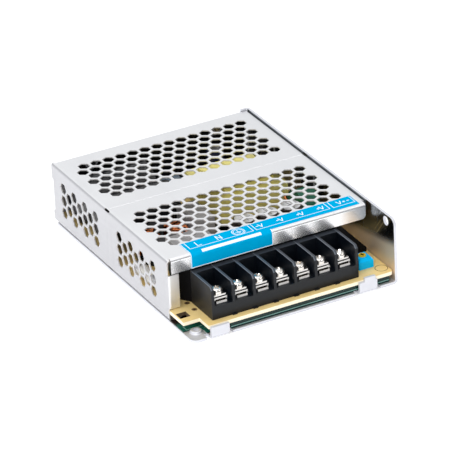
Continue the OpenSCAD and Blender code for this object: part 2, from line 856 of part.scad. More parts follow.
module front_label() color([0.0, 0.62, 0.87]) {
    r = cover_fold_r;
    along_x(label_x0, label_x1)
        translate([cover_front + r, cover_top]) square([label_d - r, label_t]);
    along_x(label_x0, label_x0 + label_fold_l) {
        translate([cover_front + r, cover_top - r]) fold(r + label_t, label_t, 90);
        translate([cover_front - label_t, lip_bottom + label_edge])
            square([label_t, lip_h - r - label_edge]);
    }
}

// Insulating sheet on the base, cut away at the free corner, with its front edge turned up under the board

module insulating_sheet() color([0.05, 0.32, 0.27]) {
    flap_x0 = left_tab_x + tab_w / 2 + relief_w;
    tip = mount_places[0];
    difference() {
        union() {
            span(film_left, film_right, film_front, film_back, chassis_t, film_top);
            span(tongue_left, film_left + eps, film_front, tongue_back, chassis_t, film_top);
            span(flap_x0, film_right, film_front, film_front + film_t, chassis_t, board_under - fit_gap);
        }
        for (p = mount_places)
            bore(p[0], p[1], 0, board_under, collar_d / 2 + film_clear);
        for (p = post_places)
            bore(p[0], p[1], 0, board_under, post_d / 2 + film_clear);
        span(x_left - cut, tip[0], y_front, tip[1] + collar_d / 2, 0, board_under);
        span(x_left - cut, left_tab_x - tab_w / 2, y_front, tip[1], 0, board_under);
        for (x = [left_tab_x, right_tab_x])
            span(x - tab_w / 2 - relief_w, x + tab_w / 2 + relief_w,
                y_front, base_front + relief_d, 0, film_top);
    }
}

// Posts pressed into the base, the board on them and its screws

module board_posts() color([0.75, 0.75, 0.77]) {
    for (p = post_places)
        translate([p[0], p[1], chassis_t])
            difference() {
                cylinder(h = post_h, d = post_d);
                translate([0, 0, -cut]) cylinder(h = post_h + 2 * cut, r = hole_r);
            }
}

module board_outline() {
    polygon([
        [board_left, board_back], [board_left, tongue_back], [tongue_left, tongue_back],
        [tongue_left, board_front + step_d], [step_x, board_front + step_d], [step_x, board_front],
        [board_right, board_front], [board_right, board_back]]);
}

module circuit_board() color([0.87, 0.76, 0.49]) {
    along_z(board_under, board_top)
        difference() {
            board_outline();
            translate([window_x, window_y]) square(window_w, center = true);
            for (i = [0, 1])
                translate([block_x0 - pin_hole_gap, window_y + pin_hole_first + i * pin_hole_pitch])
                    circle(d = pin_hole_d);
            for (p = post_places)
                translate(p) circle(hole_r);
            translate([board_right, board_front]) rotate(-90) corner_scrap(board_corner_r);
        }
}

module board_screws() color([0.8, 0.8, 0.82]) {
    for (p = post_places)
        translate([p[0], p[1], board_top])
            pan_screw(screw_d, pan_d, pan_h, board_t + post_h + chassis_t - tip_clear);
}

module cover_screws() color([0.8, 0.8, 0.82]) {
    at_cover_screws() csk_screw(cover_screw_l);
}

// Terminal block: a moulding with a rib between each pair of screw terminals

module rib_profile() {
    polygon([[block_front, board_top], [block_back, board_top], [block_back, block_top],
        [block_front + rib_chamfer, block_top], [block_front, block_top - rib_chamfer]]);
}

module terminal_block() color([0.12, 0.125, 0.14]) {
    difference() {
        union() {
            span(block_x0, block_x1, block_front, block_back, board_top, step_top);
            span(block_x0, block_x1, bay_back, block_back, step_top, block_top);
            for (i = [0 : terminal_count])
                along_x(block_x0 + i * terminal_pitch, block_x0 + i * terminal_pitch + rib_t) rib_profile();
            for (i = [1 : terminal_count - 1])
                translate([block_x0 + (rib_t - block_foot_w) / 2 + i * terminal_pitch,
                    block_front - block_foot_d, board_top])
                    cube([block_foot_w, 2 * block_foot_d, block_foot_d]);
        }
        for (x = terminal_xs)
            bore(x, terminal_y, terminal_screw_z0 - tip_clear, step_top + cut, terminal_hole_d / 2);
    }
}

module terminal_plates() color([0.85, 0.82, 0.76]) {
    for (x = terminal_xs)
        difference() {
            along_x(x - plate_w / 2, x + plate_w / 2) {
                translate([plate_front, step_top]) square([plate_back - plate_front, plate_t]);
                translate([plate_back - plate_t, step_top]) square([plate_t, plate_upstand]);
            }
            bore(x, terminal_y, step_top - cut, step_top + plate_t + cut, terminal_hole_d / 2);
        }
}

module terminal_clamps() color([0.83, 0.80, 0.74]) {
    lip_l = wire_gap - fit_gap;
    for (x = terminal_xs)
        difference() {
            along_y(terminal_y - clamp_w / 2, terminal_y + clamp_w / 2) {
                translate([x - clamp_w / 2, clamp_z]) square([clamp_w, clamp_t]);
                for (x0 = [x - clamp_w / 2, x + clamp_w / 2 - clamp_t])
                    translate([x0, clamp_z - lip_l]) square([clamp_t, lip_l + eps]);
            }
            bore(x, terminal_y, clamp_z - cut, clamp_z + clamp_t + cut, terminal_hole_d / 2);
        }
}

module terminal_washers() color([0.84, 0.81, 0.75]) {
    half = washer_w / 2;
    for (x = terminal_xs)
        difference() {
            span(x - half, x + half, terminal_y - half, terminal_y + half, washer_z, washer_z + clamp_t);
            bore(x, terminal_y, washer_z - cut, washer_z + clamp_t + cut, terminal_hole_d / 2);
        }
}

module terminal_screws() color([0.86, 0.85, 0.82]) {
    for (x = terminal_xs)
        translate([x, terminal_y, terminal_head_z])
            pan_screw(terminal_screw_d, terminal_head_d, terminal_head_h,
                terminal_head_z - terminal_screw_z0);
}

// Barrier of black fibre that closes the gap between the board and the lip behind the block: its left end is bent
// back beside the block, its right end has a cut corner
module barrier_sheet() color([0.08, 0.08, 0.09]) {
    lean = barrier_wing[0] / barrier_wing[1];
    across = barrier_t * norm(barrier_wing) / barrier_wing[1];
    back = block_back + barrier_t;
    wing_x = barrier_x0 - barrier_wing[0];
    wing_y = block_back + barrier_wing[1];
    difference() {
        translate([0, 0, board_top])
            linear_extrude(barrier_top - board_top)
                polygon([
                    [barrier_x0, block_back], [barrier_x1, block_back], [barrier_x1, back],
                    [barrier_x0 + across - barrier_t * lean, back], [wing_x + across, wing_y], [wing_x, wing_y]]);
        along_y(block_back - cut, back + cut)
            polygon([
                [barrier_x1 + cut, barrier_top - barrier_corner[1]], [barrier_x1, barrier_top - barrier_corner[1]],
                [barrier_x1 - barrier_corner[0], barrier_top], [barrier_x1 - barrier_corner[0], barrier_top + cut],
                [barrier_x1 + cut, barrier_top + cut]]);
    }
}

// Fibre sheet that stands before the back wall, with holes for the cover screws' collars
module rear_sheet() color([0.08, 0.08, 0.09]) {
    difference() {
        span(film_left, film_right, film_back - barrier_t, film_back, film_top + fit_gap, rear_sheet_top);
        for (x = rear_screw_xs)
            translate([x, film_back + cut, rear_screw_z]) rotate([90, 0, 0])
                cylinder(h = barrier_t + 2 * cut, r = collar_d / 2 + film_clear);
    }
}

// Trimmer: a tapered body with a slotted rotor in its top

module trimmer_profile() {
    half = trimmer_w / 2;
    polygon([
        [-half, 0], [half, 0], [half, trimmer_base_h], [half - trimmer_taper, trimmer_h],
        [trimmer_taper - half, trimmer_h], [-half, trimmer_base_h]]);
}

module trimmer_body() color([0.05, 0.55, 0.88]) {
    translate([trimmer_x, trimmer_y, board_top])
        difference() {
            intersection() {
                along_x(-trimmer_w, trimmer_w) trimmer_profile();
                along_y(-trimmer_w, trimmer_w) trimmer_profile();
            }
            bore(0, 0, trimmer_h - rotor_sink, trimmer_h + cut, rotor_d / 2 + rotor_fit);
            bore(0, 0, trimmer_h - rotor_sink - rotor_stem_l - fit_gap, trimmer_h,
                rotor_stem_d / 2 + rotor_fit);
        }
}

module trimmer_rotor() color([0.95, 0.80, 0.10]) {
    top = rotor_sink + rotor_rise;
    translate([trimmer_x, trimmer_y, board_top + trimmer_h - rotor_sink + fit_gap / 2])
        difference() {
            union() {
                cylinder(h = top, d = rotor_d);
                translate([0, 0, -rotor_stem_l]) cylinder(h = rotor_stem_l + eps, d = rotor_stem_d);
            }
            translate([0, 0, top]) cross_recess(rotor_slot_w, rotor_rise);
        }
}

// Line side: fuse, thermistor, filter capacitor and choke, safety capacitors and bridge

module input_fuse() color([0.90, 0.89, 0.86]) {
    translate([fuse_x, fuse_y, board_top + fuse_cap_d / 2]) rotate([-90, 0, 0]) {
        cylinder(h = fuse_l, d = fuse_d);
        for (z = [0, fuse_l - fuse_cap_l])
            translate([0, 0, z]) cylinder(h = fuse_cap_l, d = fuse_cap_d);
    }
}

// Disc that stands on two leads, with its flat faces along X
module standing_disc(d, t, lead_h) {
    translate([0, 0, lead_h + d / 2]) rotate([0, 90, 0]) cylinder(h = t, d = d);
    for (side = [-1, 1])
        translate([t / 2, side * d / 4, 0]) cylinder(h = lead_h + d / 2, d = lead_d);
}

module inrush_thermistor() color([0.10, 0.33, 0.20]) {
    translate([thermistor_x, thermistor_y, board_top])
        standing_disc(thermistor_d, thermistor_t, thermistor_lead_h);
}

module filter_capacitors() color([0.60, 0.60, 0.60]) {
    translate([box_cap_x, box_cap_y, board_top]) cube(box_cap);
    translate([side_cap_x, side_cap_y, board_top]) cube([box_cap[1], box_cap[0], box_cap[2]]);
}

module ring_section(d, w, h) {
    translate([d / 2 - w, 0]) square([w, h]);
}

// Part of a turn of winding round a ring core that stands one wire above the origin
module ring_winding(d, sweep) {
    rotate(-sweep / 2)
        rotate_extrude(angle = sweep)
            difference() {
                ring_section(d + 2 * wire_d, ring_w + 2 * wire_d, ring_h + 2 * wire_d);
                translate([0, wire_d]) ring_section(d, ring_w, ring_h);
            }
}

module filter_choke_carrier() color([0.15, 0.15, 0.15]) {
    translate([choke_x, choke_y, board_top])
        cylinder(h = carrier_h, d = choke_d + 2 * wire_d);
}

module filter_choke_core() color([0.25, 0.25, 0.26]) {
    translate([choke_x, choke_y, board_top + carrier_h + wire_d])
        rotate_extrude() ring_section(choke_d, ring_w, ring_h);
}

module filter_choke_windings() color([0.70, 0.30, 0.15]) {
    for (turn = [0, 180])
        translate([choke_x, choke_y, board_top + carrier_h])
            rotate(turn) ring_winding(choke_d, choke_sweep);
}

module safety_capacitors() color([0.15, 0.35, 0.65]) {
    for (i = [0, 1])
        translate([disc_x + i * disc_pitch, disc_y, board_top])
            standing_disc(disc_d, disc_t, disc_lead_h);
}

module bridge_rectifier() color([0.10, 0.10, 0.11]) {
    top = bridge_lead_h + bridge_h;
    lead_step = (bridge_w - bridge_cut - bridge_lead_inset) / 3;
    translate([bridge_x, bridge_y, board_top]) {
        along_y(0, bridge_t)
            polygon([[0, bridge_lead_h], [bridge_w, bridge_lead_h], [bridge_w, top], [bridge_cut, top],
                [0, top - bridge_cut]]);
        for (i = [0 : 3])
            translate([bridge_cut + i * lead_step, bridge_t / 2, 0])
                cylinder(h = bridge_lead_h + eps, d = lead_d);
    }
}

module bulk_capacitors() color([0.07, 0.07, 0.08]) {
    r = bulk_d / 2;
    groove_x = bulk_l - bulk_groove_inset;
    for (y = bulk_ys)
        translate([bulk_x0, y, bulk_z]) {
            rotate([0, 90, 0])
                rotate_extrude()
                    polygon([
                        [0, 0], [r - bulk_edge, 0], [r, bulk_edge], [r, groove_x - 2 * bulk_groove],
                        [r - bulk_groove, groove_x], [r, groove_x + 2 * bulk_groove], [r, bulk_l], [0, bulk_l]]);
            for (side = [-1, 1])
                translate([bulk_l, side * r / 2, 0]) {
                    rotate([0, 90, 0]) cylinder(h = bulk_lead_l, d = lead_d);
                    translate([bulk_lead_l - lead_d / 2, 0, board_top - bulk_z])
                        cylinder(h = bulk_z - board_top + lead_d / 2, d = lead_d);
                }
        }
}

// Transformer: a bobbin on the board, its winding, the core round it and tape over the core's sides and top

module transformer_bobbin() color([0.13, 0.13, 0.14]) {
    translate([trafo_x, trafo_y, board_top]) {
        span(-trafo_l / 2, trafo_l / 2, -trafo_w / 2, trafo_w / 2, bobbin_foot, bobbin_h);
        for (sx = [-1, 1], i = [0 : bobbin_pins - 1])
            translate([sx * (trafo_l / 2 - bobbin_pin_inset),
                (i - (bobbin_pins - 1) / 2) * bobbin_pin_pitch, 0])
                cylinder(h = bobbin_foot + eps, d = lead_d);
    }
}

module transformer_winding() color([0.88, 0.78, 0.20]) {
    translate([trafo_x, trafo_y, 0])
        difference() {
            span(-trafo_win_l / 2, trafo_win_l / 2, -trafo_win_w / 2, trafo_win_w / 2,
                board_top + bobbin_h, trafo_top);
            span(-trafo_win_l, trafo_win_l, -trafo_post_w / 2, trafo_post_w / 2,
                trafo_mid - trafo_core_h / 2, trafo_mid + trafo_core_h / 2);
        }
}

module transformer_core() color([0.22, 0.22, 0.23]) {
    z0 = trafo_mid - trafo_core_h / 2;
    z1 = core_top;
    inner_l = trafo_l / 2 - trafo_leg;
    inner_w = trafo_w / 2 - trafo_leg;
    translate([trafo_x, trafo_y, 0]) {
        difference() {
            span(-trafo_l / 2, trafo_l / 2, -trafo_w / 2, trafo_w / 2, z0, z1);
            span(-inner_l, inner_l, -inner_w, inner_w, z0 - cut, z1 + cut);
        }
        span(-inner_l - eps, inner_l + eps, -trafo_post_w / 2, trafo_post_w / 2, z0, z1);
    }
}

module transformer_tape() color([0.92, 0.80, 0.15]) {
    translate([trafo_x, trafo_y, 0])
        difference() {
            span(-trafo_l / 2 - tape_t, trafo_l / 2 + tape_t, -trafo_w / 2 - tape_t, trafo_w / 2 + tape_t,
                trafo_mid - tape_h / 2, core_top + tape_t);
            span(-trafo_l / 2, trafo_l / 2, -trafo_w / 2, trafo_w / 2, 0, core_top);
            span(-trafo_win_l / 2 - fit_gap, trafo_win_l / 2 + fit_gap,
                -trafo_win_w / 2 - fit_gap, trafo_win_w / 2 + fit_gap, 0, case_h);
        }
}

// Semiconductors clamped to the right wall, which carries their heat away

module device(y) {
    face = wall_in - pad_t;
    span(face - device_d, face, y - device_w / 2, y + device_w / 2, device_top - device_h, device_top);
    for (i = [-1 : 1])
        translate([face - (device_d + device_lead_t) / 2, y + i * lead_pitch - device_lead_w / 2, board_top])
            cube([device_lead_t, device_lead_w, device_top - device_h - board_top + eps]);
}

module switch_transistor() color([0.10, 0.10, 0.11]) {
    device(device_ys[0]);
}

module output_rectifier() color([0.10, 0.10, 0.11]) {
    device(device_ys[1]);
}

module thermal_pads() color([0.75, 0.78, 0.80]) {
    for (y = device_ys)
        span(wall_in - pad_t, wall_in, y - device_w / 2 - pad_margin, y + device_w / 2 + pad_margin,
            device_top - device_h - pad_margin, device_top + pad_margin);
}

module clamp_springs() color([0.80, 0.80, 0.82]) {
    outer = wall_in - pad_t - device_d - spring_t;
    for (y = device_ys)
        difference() {
            along_z(device_mid - spring_h / 2, device_mid + spring_h / 2) {
                translate([wall_in - spring_t, spring_y(y)]) square([spring_t, spring_w]);
                translate([outer, spring_y(y)]) square([wall_in - outer, spring_t]);
                translate([outer, y - spring_tip])
                    square([spring_t, spring_y(y) - y + spring_t + spring_tip]);
            }
            translate([wall_in - spring_t - cut, spring_y(y) + spring_w / 2, device_mid])
                rotate([0, 90, 0]) cylinder(h = spring_t + 2 * cut, r = hole_r);
        }
}

module clamp_screws() color([0.8, 0.8, 0.82]) {
    for (y = device_ys)
        translate([wall_in - spring_t, spring_y(y) + spring_w / 2, device_mid])
            rotate([0, -90, 0]) pan_screw(screw_d, pan_d, pan_h, spring_t + chassis_t);
}

// Output side: choke, capacitors and the control parts

// The output choke's ring stands on its edge, with the bare part of its core at the top
module on_edge() {
    translate([inductor_x - ring_h / 2 - wire_d, inductor_y, board_top + inductor_r])
        rotate([0, 90, 0]) children();
}

module output_choke_core() color([0.12, 0.38, 0.28]) {
    on_edge() translate([0, 0, wire_d]) rotate_extrude() ring_section(inductor_d, ring_w, ring_h);
}

module output_choke_winding() color([0.62, 0.33, 0.16]) {
    on_edge() ring_winding(inductor_d, inductor_sweep);
}

// Radial capacitor's can, with the groove that holds its seal
module can(d, h) {
    groove = 0.4;
    groove_z = 2.2;
    rim = 0.6;
    rotate_extrude()
        polygon([[0, 0], [d / 2, 0], [d / 2, groove_z - rim], [d / 2 - groove, groove_z],
            [d / 2, groove_z + rim], [d / 2, h - rim], [d / 2 - rim, h], [0, h]]);
}

module output_capacitors() color([0.20, 0.16, 0.12]) {
    for (i = [0 : out_cap_count - 1])
        translate([out_cap_x - i * out_cap_pitch, out_cap_y, board_top]) can(out_cap_d, out_cap_h);
}

module chip(l, pins) {
    translate([-chip_w / 2, -l / 2, chip_lead_h]) cube([chip_w, l, chip_h]);
    for (x0 = [-chip_w / 2 - chip_lead_t, chip_w / 2], i = [0 : pins - 1])
        translate([x0, (i - (pins - 1) / 2) * lead_pitch - chip_lead_w / 2, 0])
            cube([chip_lead_t, chip_lead_w, chip_lead_h + chip_h / 2]);
}

module optocoupler() color([0.92, 0.92, 0.90]) {
    translate([opto_x, control_y, board_top]) chip(opto_l, opto_pins);
}

module control_chip() color([0.10, 0.10, 0.11]) {
    translate([trafo_x, control_y, board_top]) chip(control_l, control_pins);
}

module power_resistors() color([0.55, 0.62, 0.70]) {
    for (i = [0, 1])
        translate([resistor_x, bulk_y + resistor_shift - i * resistor_pitch, board_top + resistor_d / 2]) {
            rotate([0, 90, 0]) cylinder(h = resistor_l, d = resistor_d);
            for (x = [-resistor_lead, resistor_l + resistor_lead])
                translate([x, 0, -resistor_d / 2]) cylinder(h = (resistor_d + lead_d) / 2, d = lead_d);
            translate([-resistor_lead, 0, 0])
                rotate([0, 90, 0]) cylinder(h = resistor_l + 2 * resistor_lead, d = lead_d);
        }
}

module supply_capacitor() color([0.10, 0.12, 0.20]) {
    translate([supply_x, supply_y, board_top]) can(supply_d, supply_h);
}

chassis();
cover();
front_label();
insulating_sheet();
board_posts();
circuit_board();
board_screws();
cover_screws();
terminal_block();
terminal_plates();
terminal_clamps();
terminal_washers();
terminal_screws();
barrier_sheet();
rear_sheet();
trimmer_body();
trimmer_rotor();
input_fuse();
inrush_thermistor();
filter_capacitors();
filter_choke_core();
filter_choke_windings();
filter_choke_carrier();
safety_capacitors();
bridge_rectifier();
bulk_capacitors();
transformer_bobbin();
transformer_winding();
transformer_core();
transformer_tape();
switch_transistor();
output_rectifier();
thermal_pads();
clamp_springs();
clamp_screws();
output_choke_core();
output_choke_winding();
output_capacitors();
optocoupler();
control_chip();
power_resistors();
supply_capacitor();
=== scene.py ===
# %% [markdown]
# A flat enclosed power supply, dressed in Blender. The solids come from a CAD model that is already packed,
# so each piece is measured from the solid that carries it and keeps its place in metres. Only thin lines and
# a few masks have places of their own, in millimetres. What this lesson adds is what solids lack: finishes,
# printed marks, wound wire and rounded screw heads.

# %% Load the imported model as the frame
import math

import bmesh
import bpy
from mathutils import Matrix, Vector


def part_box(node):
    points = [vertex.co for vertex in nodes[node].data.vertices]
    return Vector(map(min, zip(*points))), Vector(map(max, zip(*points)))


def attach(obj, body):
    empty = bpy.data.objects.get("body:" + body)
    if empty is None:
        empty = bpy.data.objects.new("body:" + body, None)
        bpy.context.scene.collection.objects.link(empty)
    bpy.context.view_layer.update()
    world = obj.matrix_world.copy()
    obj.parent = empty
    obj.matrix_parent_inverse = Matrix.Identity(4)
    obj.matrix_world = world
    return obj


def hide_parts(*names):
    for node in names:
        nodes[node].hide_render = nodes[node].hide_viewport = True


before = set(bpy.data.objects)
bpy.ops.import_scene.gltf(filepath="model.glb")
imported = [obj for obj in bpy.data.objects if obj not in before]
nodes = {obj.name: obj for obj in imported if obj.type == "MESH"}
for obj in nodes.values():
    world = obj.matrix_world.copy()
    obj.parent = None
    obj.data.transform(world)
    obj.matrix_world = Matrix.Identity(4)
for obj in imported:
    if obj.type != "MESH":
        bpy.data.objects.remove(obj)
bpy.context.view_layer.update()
MM = 0.001

# %% [markdown]
# The camera stands where the photograph was taken from: to the left of the front, well above it, far away
# with a long lens, so that parallel edges stay nearly parallel. It could be aimed with a Track To constraint,
# but a matrix made from three angles is exact and shows how a camera's axes work: X to the right, Y up and Z
# backwards.

# %% Camera at the photograph's angle
AZIMUTH, ELEVATION, ROLL = 26.95, 27.43, -2.81
DISTANCE = 1.7037
TARGET = Vector((0, 0, 15 * MM))
IMAGE_PX = 450
FOCAL_PX = 4011.8
CENTRE_PX = (222.17, 221.59)
SENSOR_MM = 36
FAR_CLIP = 20


def in_scene(name, data):
    """An object with that data, linked to the scene."""
    made = bpy.data.objects.new(name, data)
    bpy.context.scene.collection.objects.link(made)
    return made


def camera_axes(azimuth, elevation, roll):
    """Right, up and back of a camera that looks at the target."""
    a, e, r = (math.radians(v) for v in (azimuth, elevation, roll))
    back = Vector((-math.sin(a) * math.cos(e), -math.cos(a) * math.cos(e), math.sin(e)))
    right = Vector((math.cos(a), -math.sin(a), 0))
    up = back.cross(right)
    return right * math.cos(r) + up * math.sin(r), up * math.cos(r) - right * math.sin(r), back


right, up, back = camera_axes(AZIMUTH, ELEVATION, ROLL)
lens = bpy.data.cameras.new("photo_camera")
lens.sensor_width = SENSOR_MM
lens.lens = FOCAL_PX * SENSOR_MM / IMAGE_PX
lens.shift_x = (IMAGE_PX / 2 - CENTRE_PX[0]) / IMAGE_PX
lens.shift_y = (CENTRE_PX[1] - IMAGE_PX / 2) / IMAGE_PX
lens.clip_end = FAR_CLIP
camera = in_scene("photo_camera", lens)
stand = Matrix.Translation(TARGET + back * DISTANCE)
camera.matrix_world = stand @ Matrix((right, up, back)).transposed().to_4x4()
bpy.context.scene.camera = camera
print("lens in mm:", round(lens.lens, 1))

# %% [markdown]
# A finish is a tree of nodes that ends in one shader. Each node could be wired by hand, but the same few steps
# come back in every finish: arithmetic, a soft step, a blend of two colours. Short functions for them keep each
# finish readable. A value that is the same all over a surface is set on the shader's own socket.

# %% Material helpers: a node tree with a shader, and short ways to add nodes to it


def new_material(name, colour, roughness, metallic=0.0, **sockets):
    """A material with one Principled shader, its tree and the shader."""
    material = bpy.data.materials.new(name)
    material.use_nodes = True
    material.diffuse_color = (*colour, 1)
    shader = material.node_tree.nodes["Principled BSDF"]
    shader.inputs["Base Color"].default_value = (*colour, 1)
    shader.inputs["Roughness"].default_value = roughness
    shader.inputs["Metallic"].default_value = metallic
    for socket, value in sockets.items():
        shader.inputs[socket.replace("_", " ")].default_value = value
    return material, material.node_tree, shader


def add(tree, kind, values=None, **settings):
    """A node of that kind, with settings on the node and values or links on its inputs."""
    node = tree.nodes.new(kind)
    for key, value in settings.items():
        setattr(node, key, value)
    for key, value in (values or {}).items():
        if isinstance(value, bpy.types.NodeSocket):
            tree.links.new(value, node.inputs[key])
        else:
            node.inputs[key].default_value = value
    return node


def maths(tree, operation, a, b=0.0):
    """One step of arithmetic."""
    return add(tree, "ShaderNodeMath", {0: a, 1: b}, operation=operation).outputs[0]


def both(tree, a, b):
    """A mask that is 1 where two masks are 1."""
    return maths(tree, "MULTIPLY", a, b)


def either(tree, a, b):
    """A mask that is 1 where one of two masks is 1."""
    return maths(tree, "MAXIMUM", a, b)


def blend_colours(tree, mask, low, high):
    """A colour between low and high by a mask from 0 to 1."""
    low, high = (c if isinstance(c, bpy.types.NodeSocket) else (*c, 1) for c in (low, high))
    return add(tree, "ShaderNodeMix", {0: mask, 6: low, 7: high}, data_type="RGBA").outputs[2]


def blend_values(tree, mask, low, high):
    """A number between low and high by a mask from 0 to 1."""
    return add(tree, "ShaderNodeMix", {0: mask, 2: low, 3: high}).outputs[0]


def threshold(tree, value, low, high):
    """0 at low and 1 at high, with a soft step between them; low may be the larger one."""
    return add(tree, "ShaderNodeMapRange", {0: value, 1: low, 2: high},
               interpolation_type="SMOOTHSTEP").outputs[0]


def feed(tree, shader, socket, value):
    """Lets a node's output drive one of the shader's sockets."""
    tree.links.new(value, shader.inputs[socket])


def fed(shader, socket):
    """The output that drives one of the shader's sockets so far."""
    return shader.inputs[socket].links[0].from_socket


print("material helpers ready")

# %% [markdown]
# A catalogue picture has a white sweep and large soft lamps, and is exposed so that white paper is pure white:
# the Standard view does that, where Blender's default view would soften whites and blues. Bright metal mostly
# mirrors the room, so the room matters more than the lamps: a white world with a darker part behind the camera,
# which leaves the openings at the front dark. The floor glows a little, and so stays white up to the object.

# %% Floor and world
FLOOR_HALF = 3.0
FLOOR_GAP = 0.05 * MM
FLOOR_WHITE, FLOOR_ROUGHNESS, FLOOR_GLOW = (0.93, 0.93, 0.93), 0.85, 0.25
floor_mesh = bpy.data.meshes.new("studio_floor")
floor_corners = [(sx * FLOOR_HALF, sy * FLOOR_HALF, -FLOOR_GAP)
                 for sx, sy in ((-1, -1), (1, -1), (1, 1), (-1, 1))]
floor_mesh.from_pydata(floor_corners, [], [(0, 1, 2, 3)])
studio_floor = in_scene("studio_floor", floor_mesh)
floor_finish = new_material("floor_white", FLOOR_WHITE, FLOOR_ROUGHNESS,
                            Emission_Color=(1, 1, 1, 1), Emission_Strength=FLOOR_GLOW)[0]
floor_mesh.materials.append(floor_finish)

WORLD_LIGHT = 0.85
WORLD_WHITE, WORLD_DARK = (0.97, 0.985, 1.0), (0.46, 0.465, 0.48)
DARK_TOWARDS = Vector((0.25, -0.95, 0.2)).normalized()
DARK_FROM, DARK_TO = 0.1, 0.8
world = bpy.data.worlds.new("studio_world")
world.use_nodes = True
sky = world.node_tree
ray = sky.nodes.new("ShaderNodeTexCoord").outputs["Generated"]
towards = add(sky, "ShaderNodeVectorMath", {0: ray, 1: DARK_TOWARDS}, operation="DOT_PRODUCT")
darker = threshold(sky, towards.outputs["Value"], DARK_FROM, DARK_TO)
sky.links.new(blend_colours(sky, darker, WORLD_WHITE, WORLD_DARK), sky.nodes["Background"].inputs[0])
sky.nodes["Background"].inputs[1].default_value = WORLD_LIGHT
bpy.context.scene.world = world
bpy.context.scene.view_settings.view_transform = "Standard"
print("floor and world ready, view:", bpy.context.scene.view_settings.view_transform)

# %% [markdown]
# Four square lamps stand for the soft boxes of a studio. Sun lamps would be simpler, but their shadows are
# hard. Each row gives a lamp's place and side in metres and its watts. All lamps look at the middle of the
# floor under the object: to_track_quat turns their -Z axis that way.

# %% Lamps
LAMPS = {"lamp_above": ((-0.1, 0.2, 1.1), 0.8, 3.0),
         "lamp_left": ((-1.1, -0.35, 0.75), 0.6, 3.0),
         "lamp_front": ((-0.75, -1.15, 0.85), 0.5, 8.0),
         "lamp_high": ((0.45, -0.52, 0.9), 0.4, 1.2)}
for name, (spot, size, watts) in LAMPS.items():
    light = bpy.data.lights.new(name, "AREA")
    light.size = size
    light.energy = watts
    turn = (-Vector(spot)).to_track_quat("-Z", "Y").to_matrix().to_4x4()
    in_scene(name, light).matrix_world = Matrix.Translation(spot) @ turn
print("lamps:", list(LAMPS))

# %% [markdown]
# Several finishes share the same faults: sheet has rolling lines and rub marks, mouldings have a fine grain and
# nothing is one even shade. Each such effect is a node group, built once and placed in each material with its
# own values. A group puts out only masks and heights, and the shader stays in the material.

# %% Node groups for effects that several finishes share
CLOUD_DETAIL, GRAIN_DETAIL, LINE_DETAIL, RUB_DETAIL = 3.0, 2.0, 3.0, 2.0
MIDDLE_SHADE = 0.5
LINE_STRETCH = (1.0, 0.03, 1.0)
RUB_SLANT, RUB_STRETCH = (0.9, 0.2, 0.5), (1.0, 14.0, 1.0)
RUB_FROM, RUB_TO = 0.6, 0.72


def new_group(name, inputs, outputs):
    """An empty shader node group with named number sockets, and its input and output nodes."""
    group = bpy.data.node_groups.new(name, "ShaderNodeTree")
    for socket, value in inputs.items():
        made = group.interface.new_socket(socket, in_out="INPUT", socket_type="NodeSocketFloat")
        made.default_value = value
    for socket in outputs:
        group.interface.new_socket(socket, in_out="OUTPUT", socket_type="NodeSocketFloat")
    return group, group.nodes.new("NodeGroupInput"), group.nodes.new("NodeGroupOutput")


def spot_on_part(tree):
    """Where a point of the surface is in the part's frame, in metres."""
    return tree.nodes.new("ShaderNodeTexCoord").outputs["Object"]


def noise(tree, spot, scale, detail):
    """Soft random values from 0 to 1."""
    return add(tree, "ShaderNodeTexNoise", {"Vector": spot, "Scale": scale, "Detail": detail}).outputs[0]


# Cloudy shade: broad soft patches, as handling and uneven light leave on any surface
cloud_group, cloud_in, cloud_out = new_group("cloudy_shade", {"Scale": 60.0, "Contrast": 0.35}, ["Shade"])
patches = noise(cloud_group, spot_on_part(cloud_group), cloud_in.outputs["Scale"], CLOUD_DETAIL)
dark_end, light_end = (maths(cloud_group, step, MIDDLE_SHADE, cloud_in.outputs["Contrast"])
                       for step in ("SUBTRACT", "ADD"))
shade = add(cloud_group, "ShaderNodeMapRange", {0: patches, 1: dark_end, 2: light_end}).outputs[0]
cloud_group.links.new(shade, cloud_out.inputs["Shade"])

# Moulded grain: a fine even texture as a height for bump
grain_group, grain_in, grain_out = new_group("moulded_grain", {"Scale": 2600.0}, ["Height"])
grain = noise(grain_group, spot_on_part(grain_group), grain_in.outputs["Scale"], GRAIN_DETAIL)
grain_group.links.new(grain, grain_out.inputs["Height"])

# Rolled sheet: long fine lines along Y, and sparse slanting rub marks
sheet_group, sheet_in, sheet_out = new_group("rolled_sheet", {"Lines": 900.0, "Rubs": 40.0},
                                             ["Lines", "Rubs"])
spot = spot_on_part(sheet_group)
drawn = add(sheet_group, "ShaderNodeMapping", {"Vector": spot, "Scale": LINE_STRETCH}).outputs[0]
slanted = add(sheet_group, "ShaderNodeMapping",
              {"Vector": spot, "Rotation": RUB_SLANT, "Scale": RUB_STRETCH}).outputs[0]
lines = noise(sheet_group, drawn, sheet_in.outputs["Lines"], LINE_DETAIL)
rubs = noise(sheet_group, slanted, sheet_in.outputs["Rubs"], RUB_DETAIL)
sheet_group.links.new(lines, sheet_out.inputs["Lines"])
sheet_group.links.new(threshold(sheet_group, rubs, RUB_FROM, RUB_TO), sheet_out.inputs["Rubs"])
print("groups:", [g.name for g in bpy.data.node_groups])

# %% [markdown]
# One solid often shows two finishes, such as a sheet's face and its cut edge. It could be split into two pieces
# or have two material slots, but a mask that is measured on the solid itself needs neither: the true normal
# tells where a face looks, and the object coordinates tell where it lies.

# %% Helpers that wire a group or a mask into a finish
ALONG_AXIS, AGAINST_AXIS = (0.8, 0.95), (-0.7, -0.95)


def place(tree, group, **values):
    """A group in a material, with its values."""
    return add(tree, "ShaderNodeGroup", values, node_tree=group)


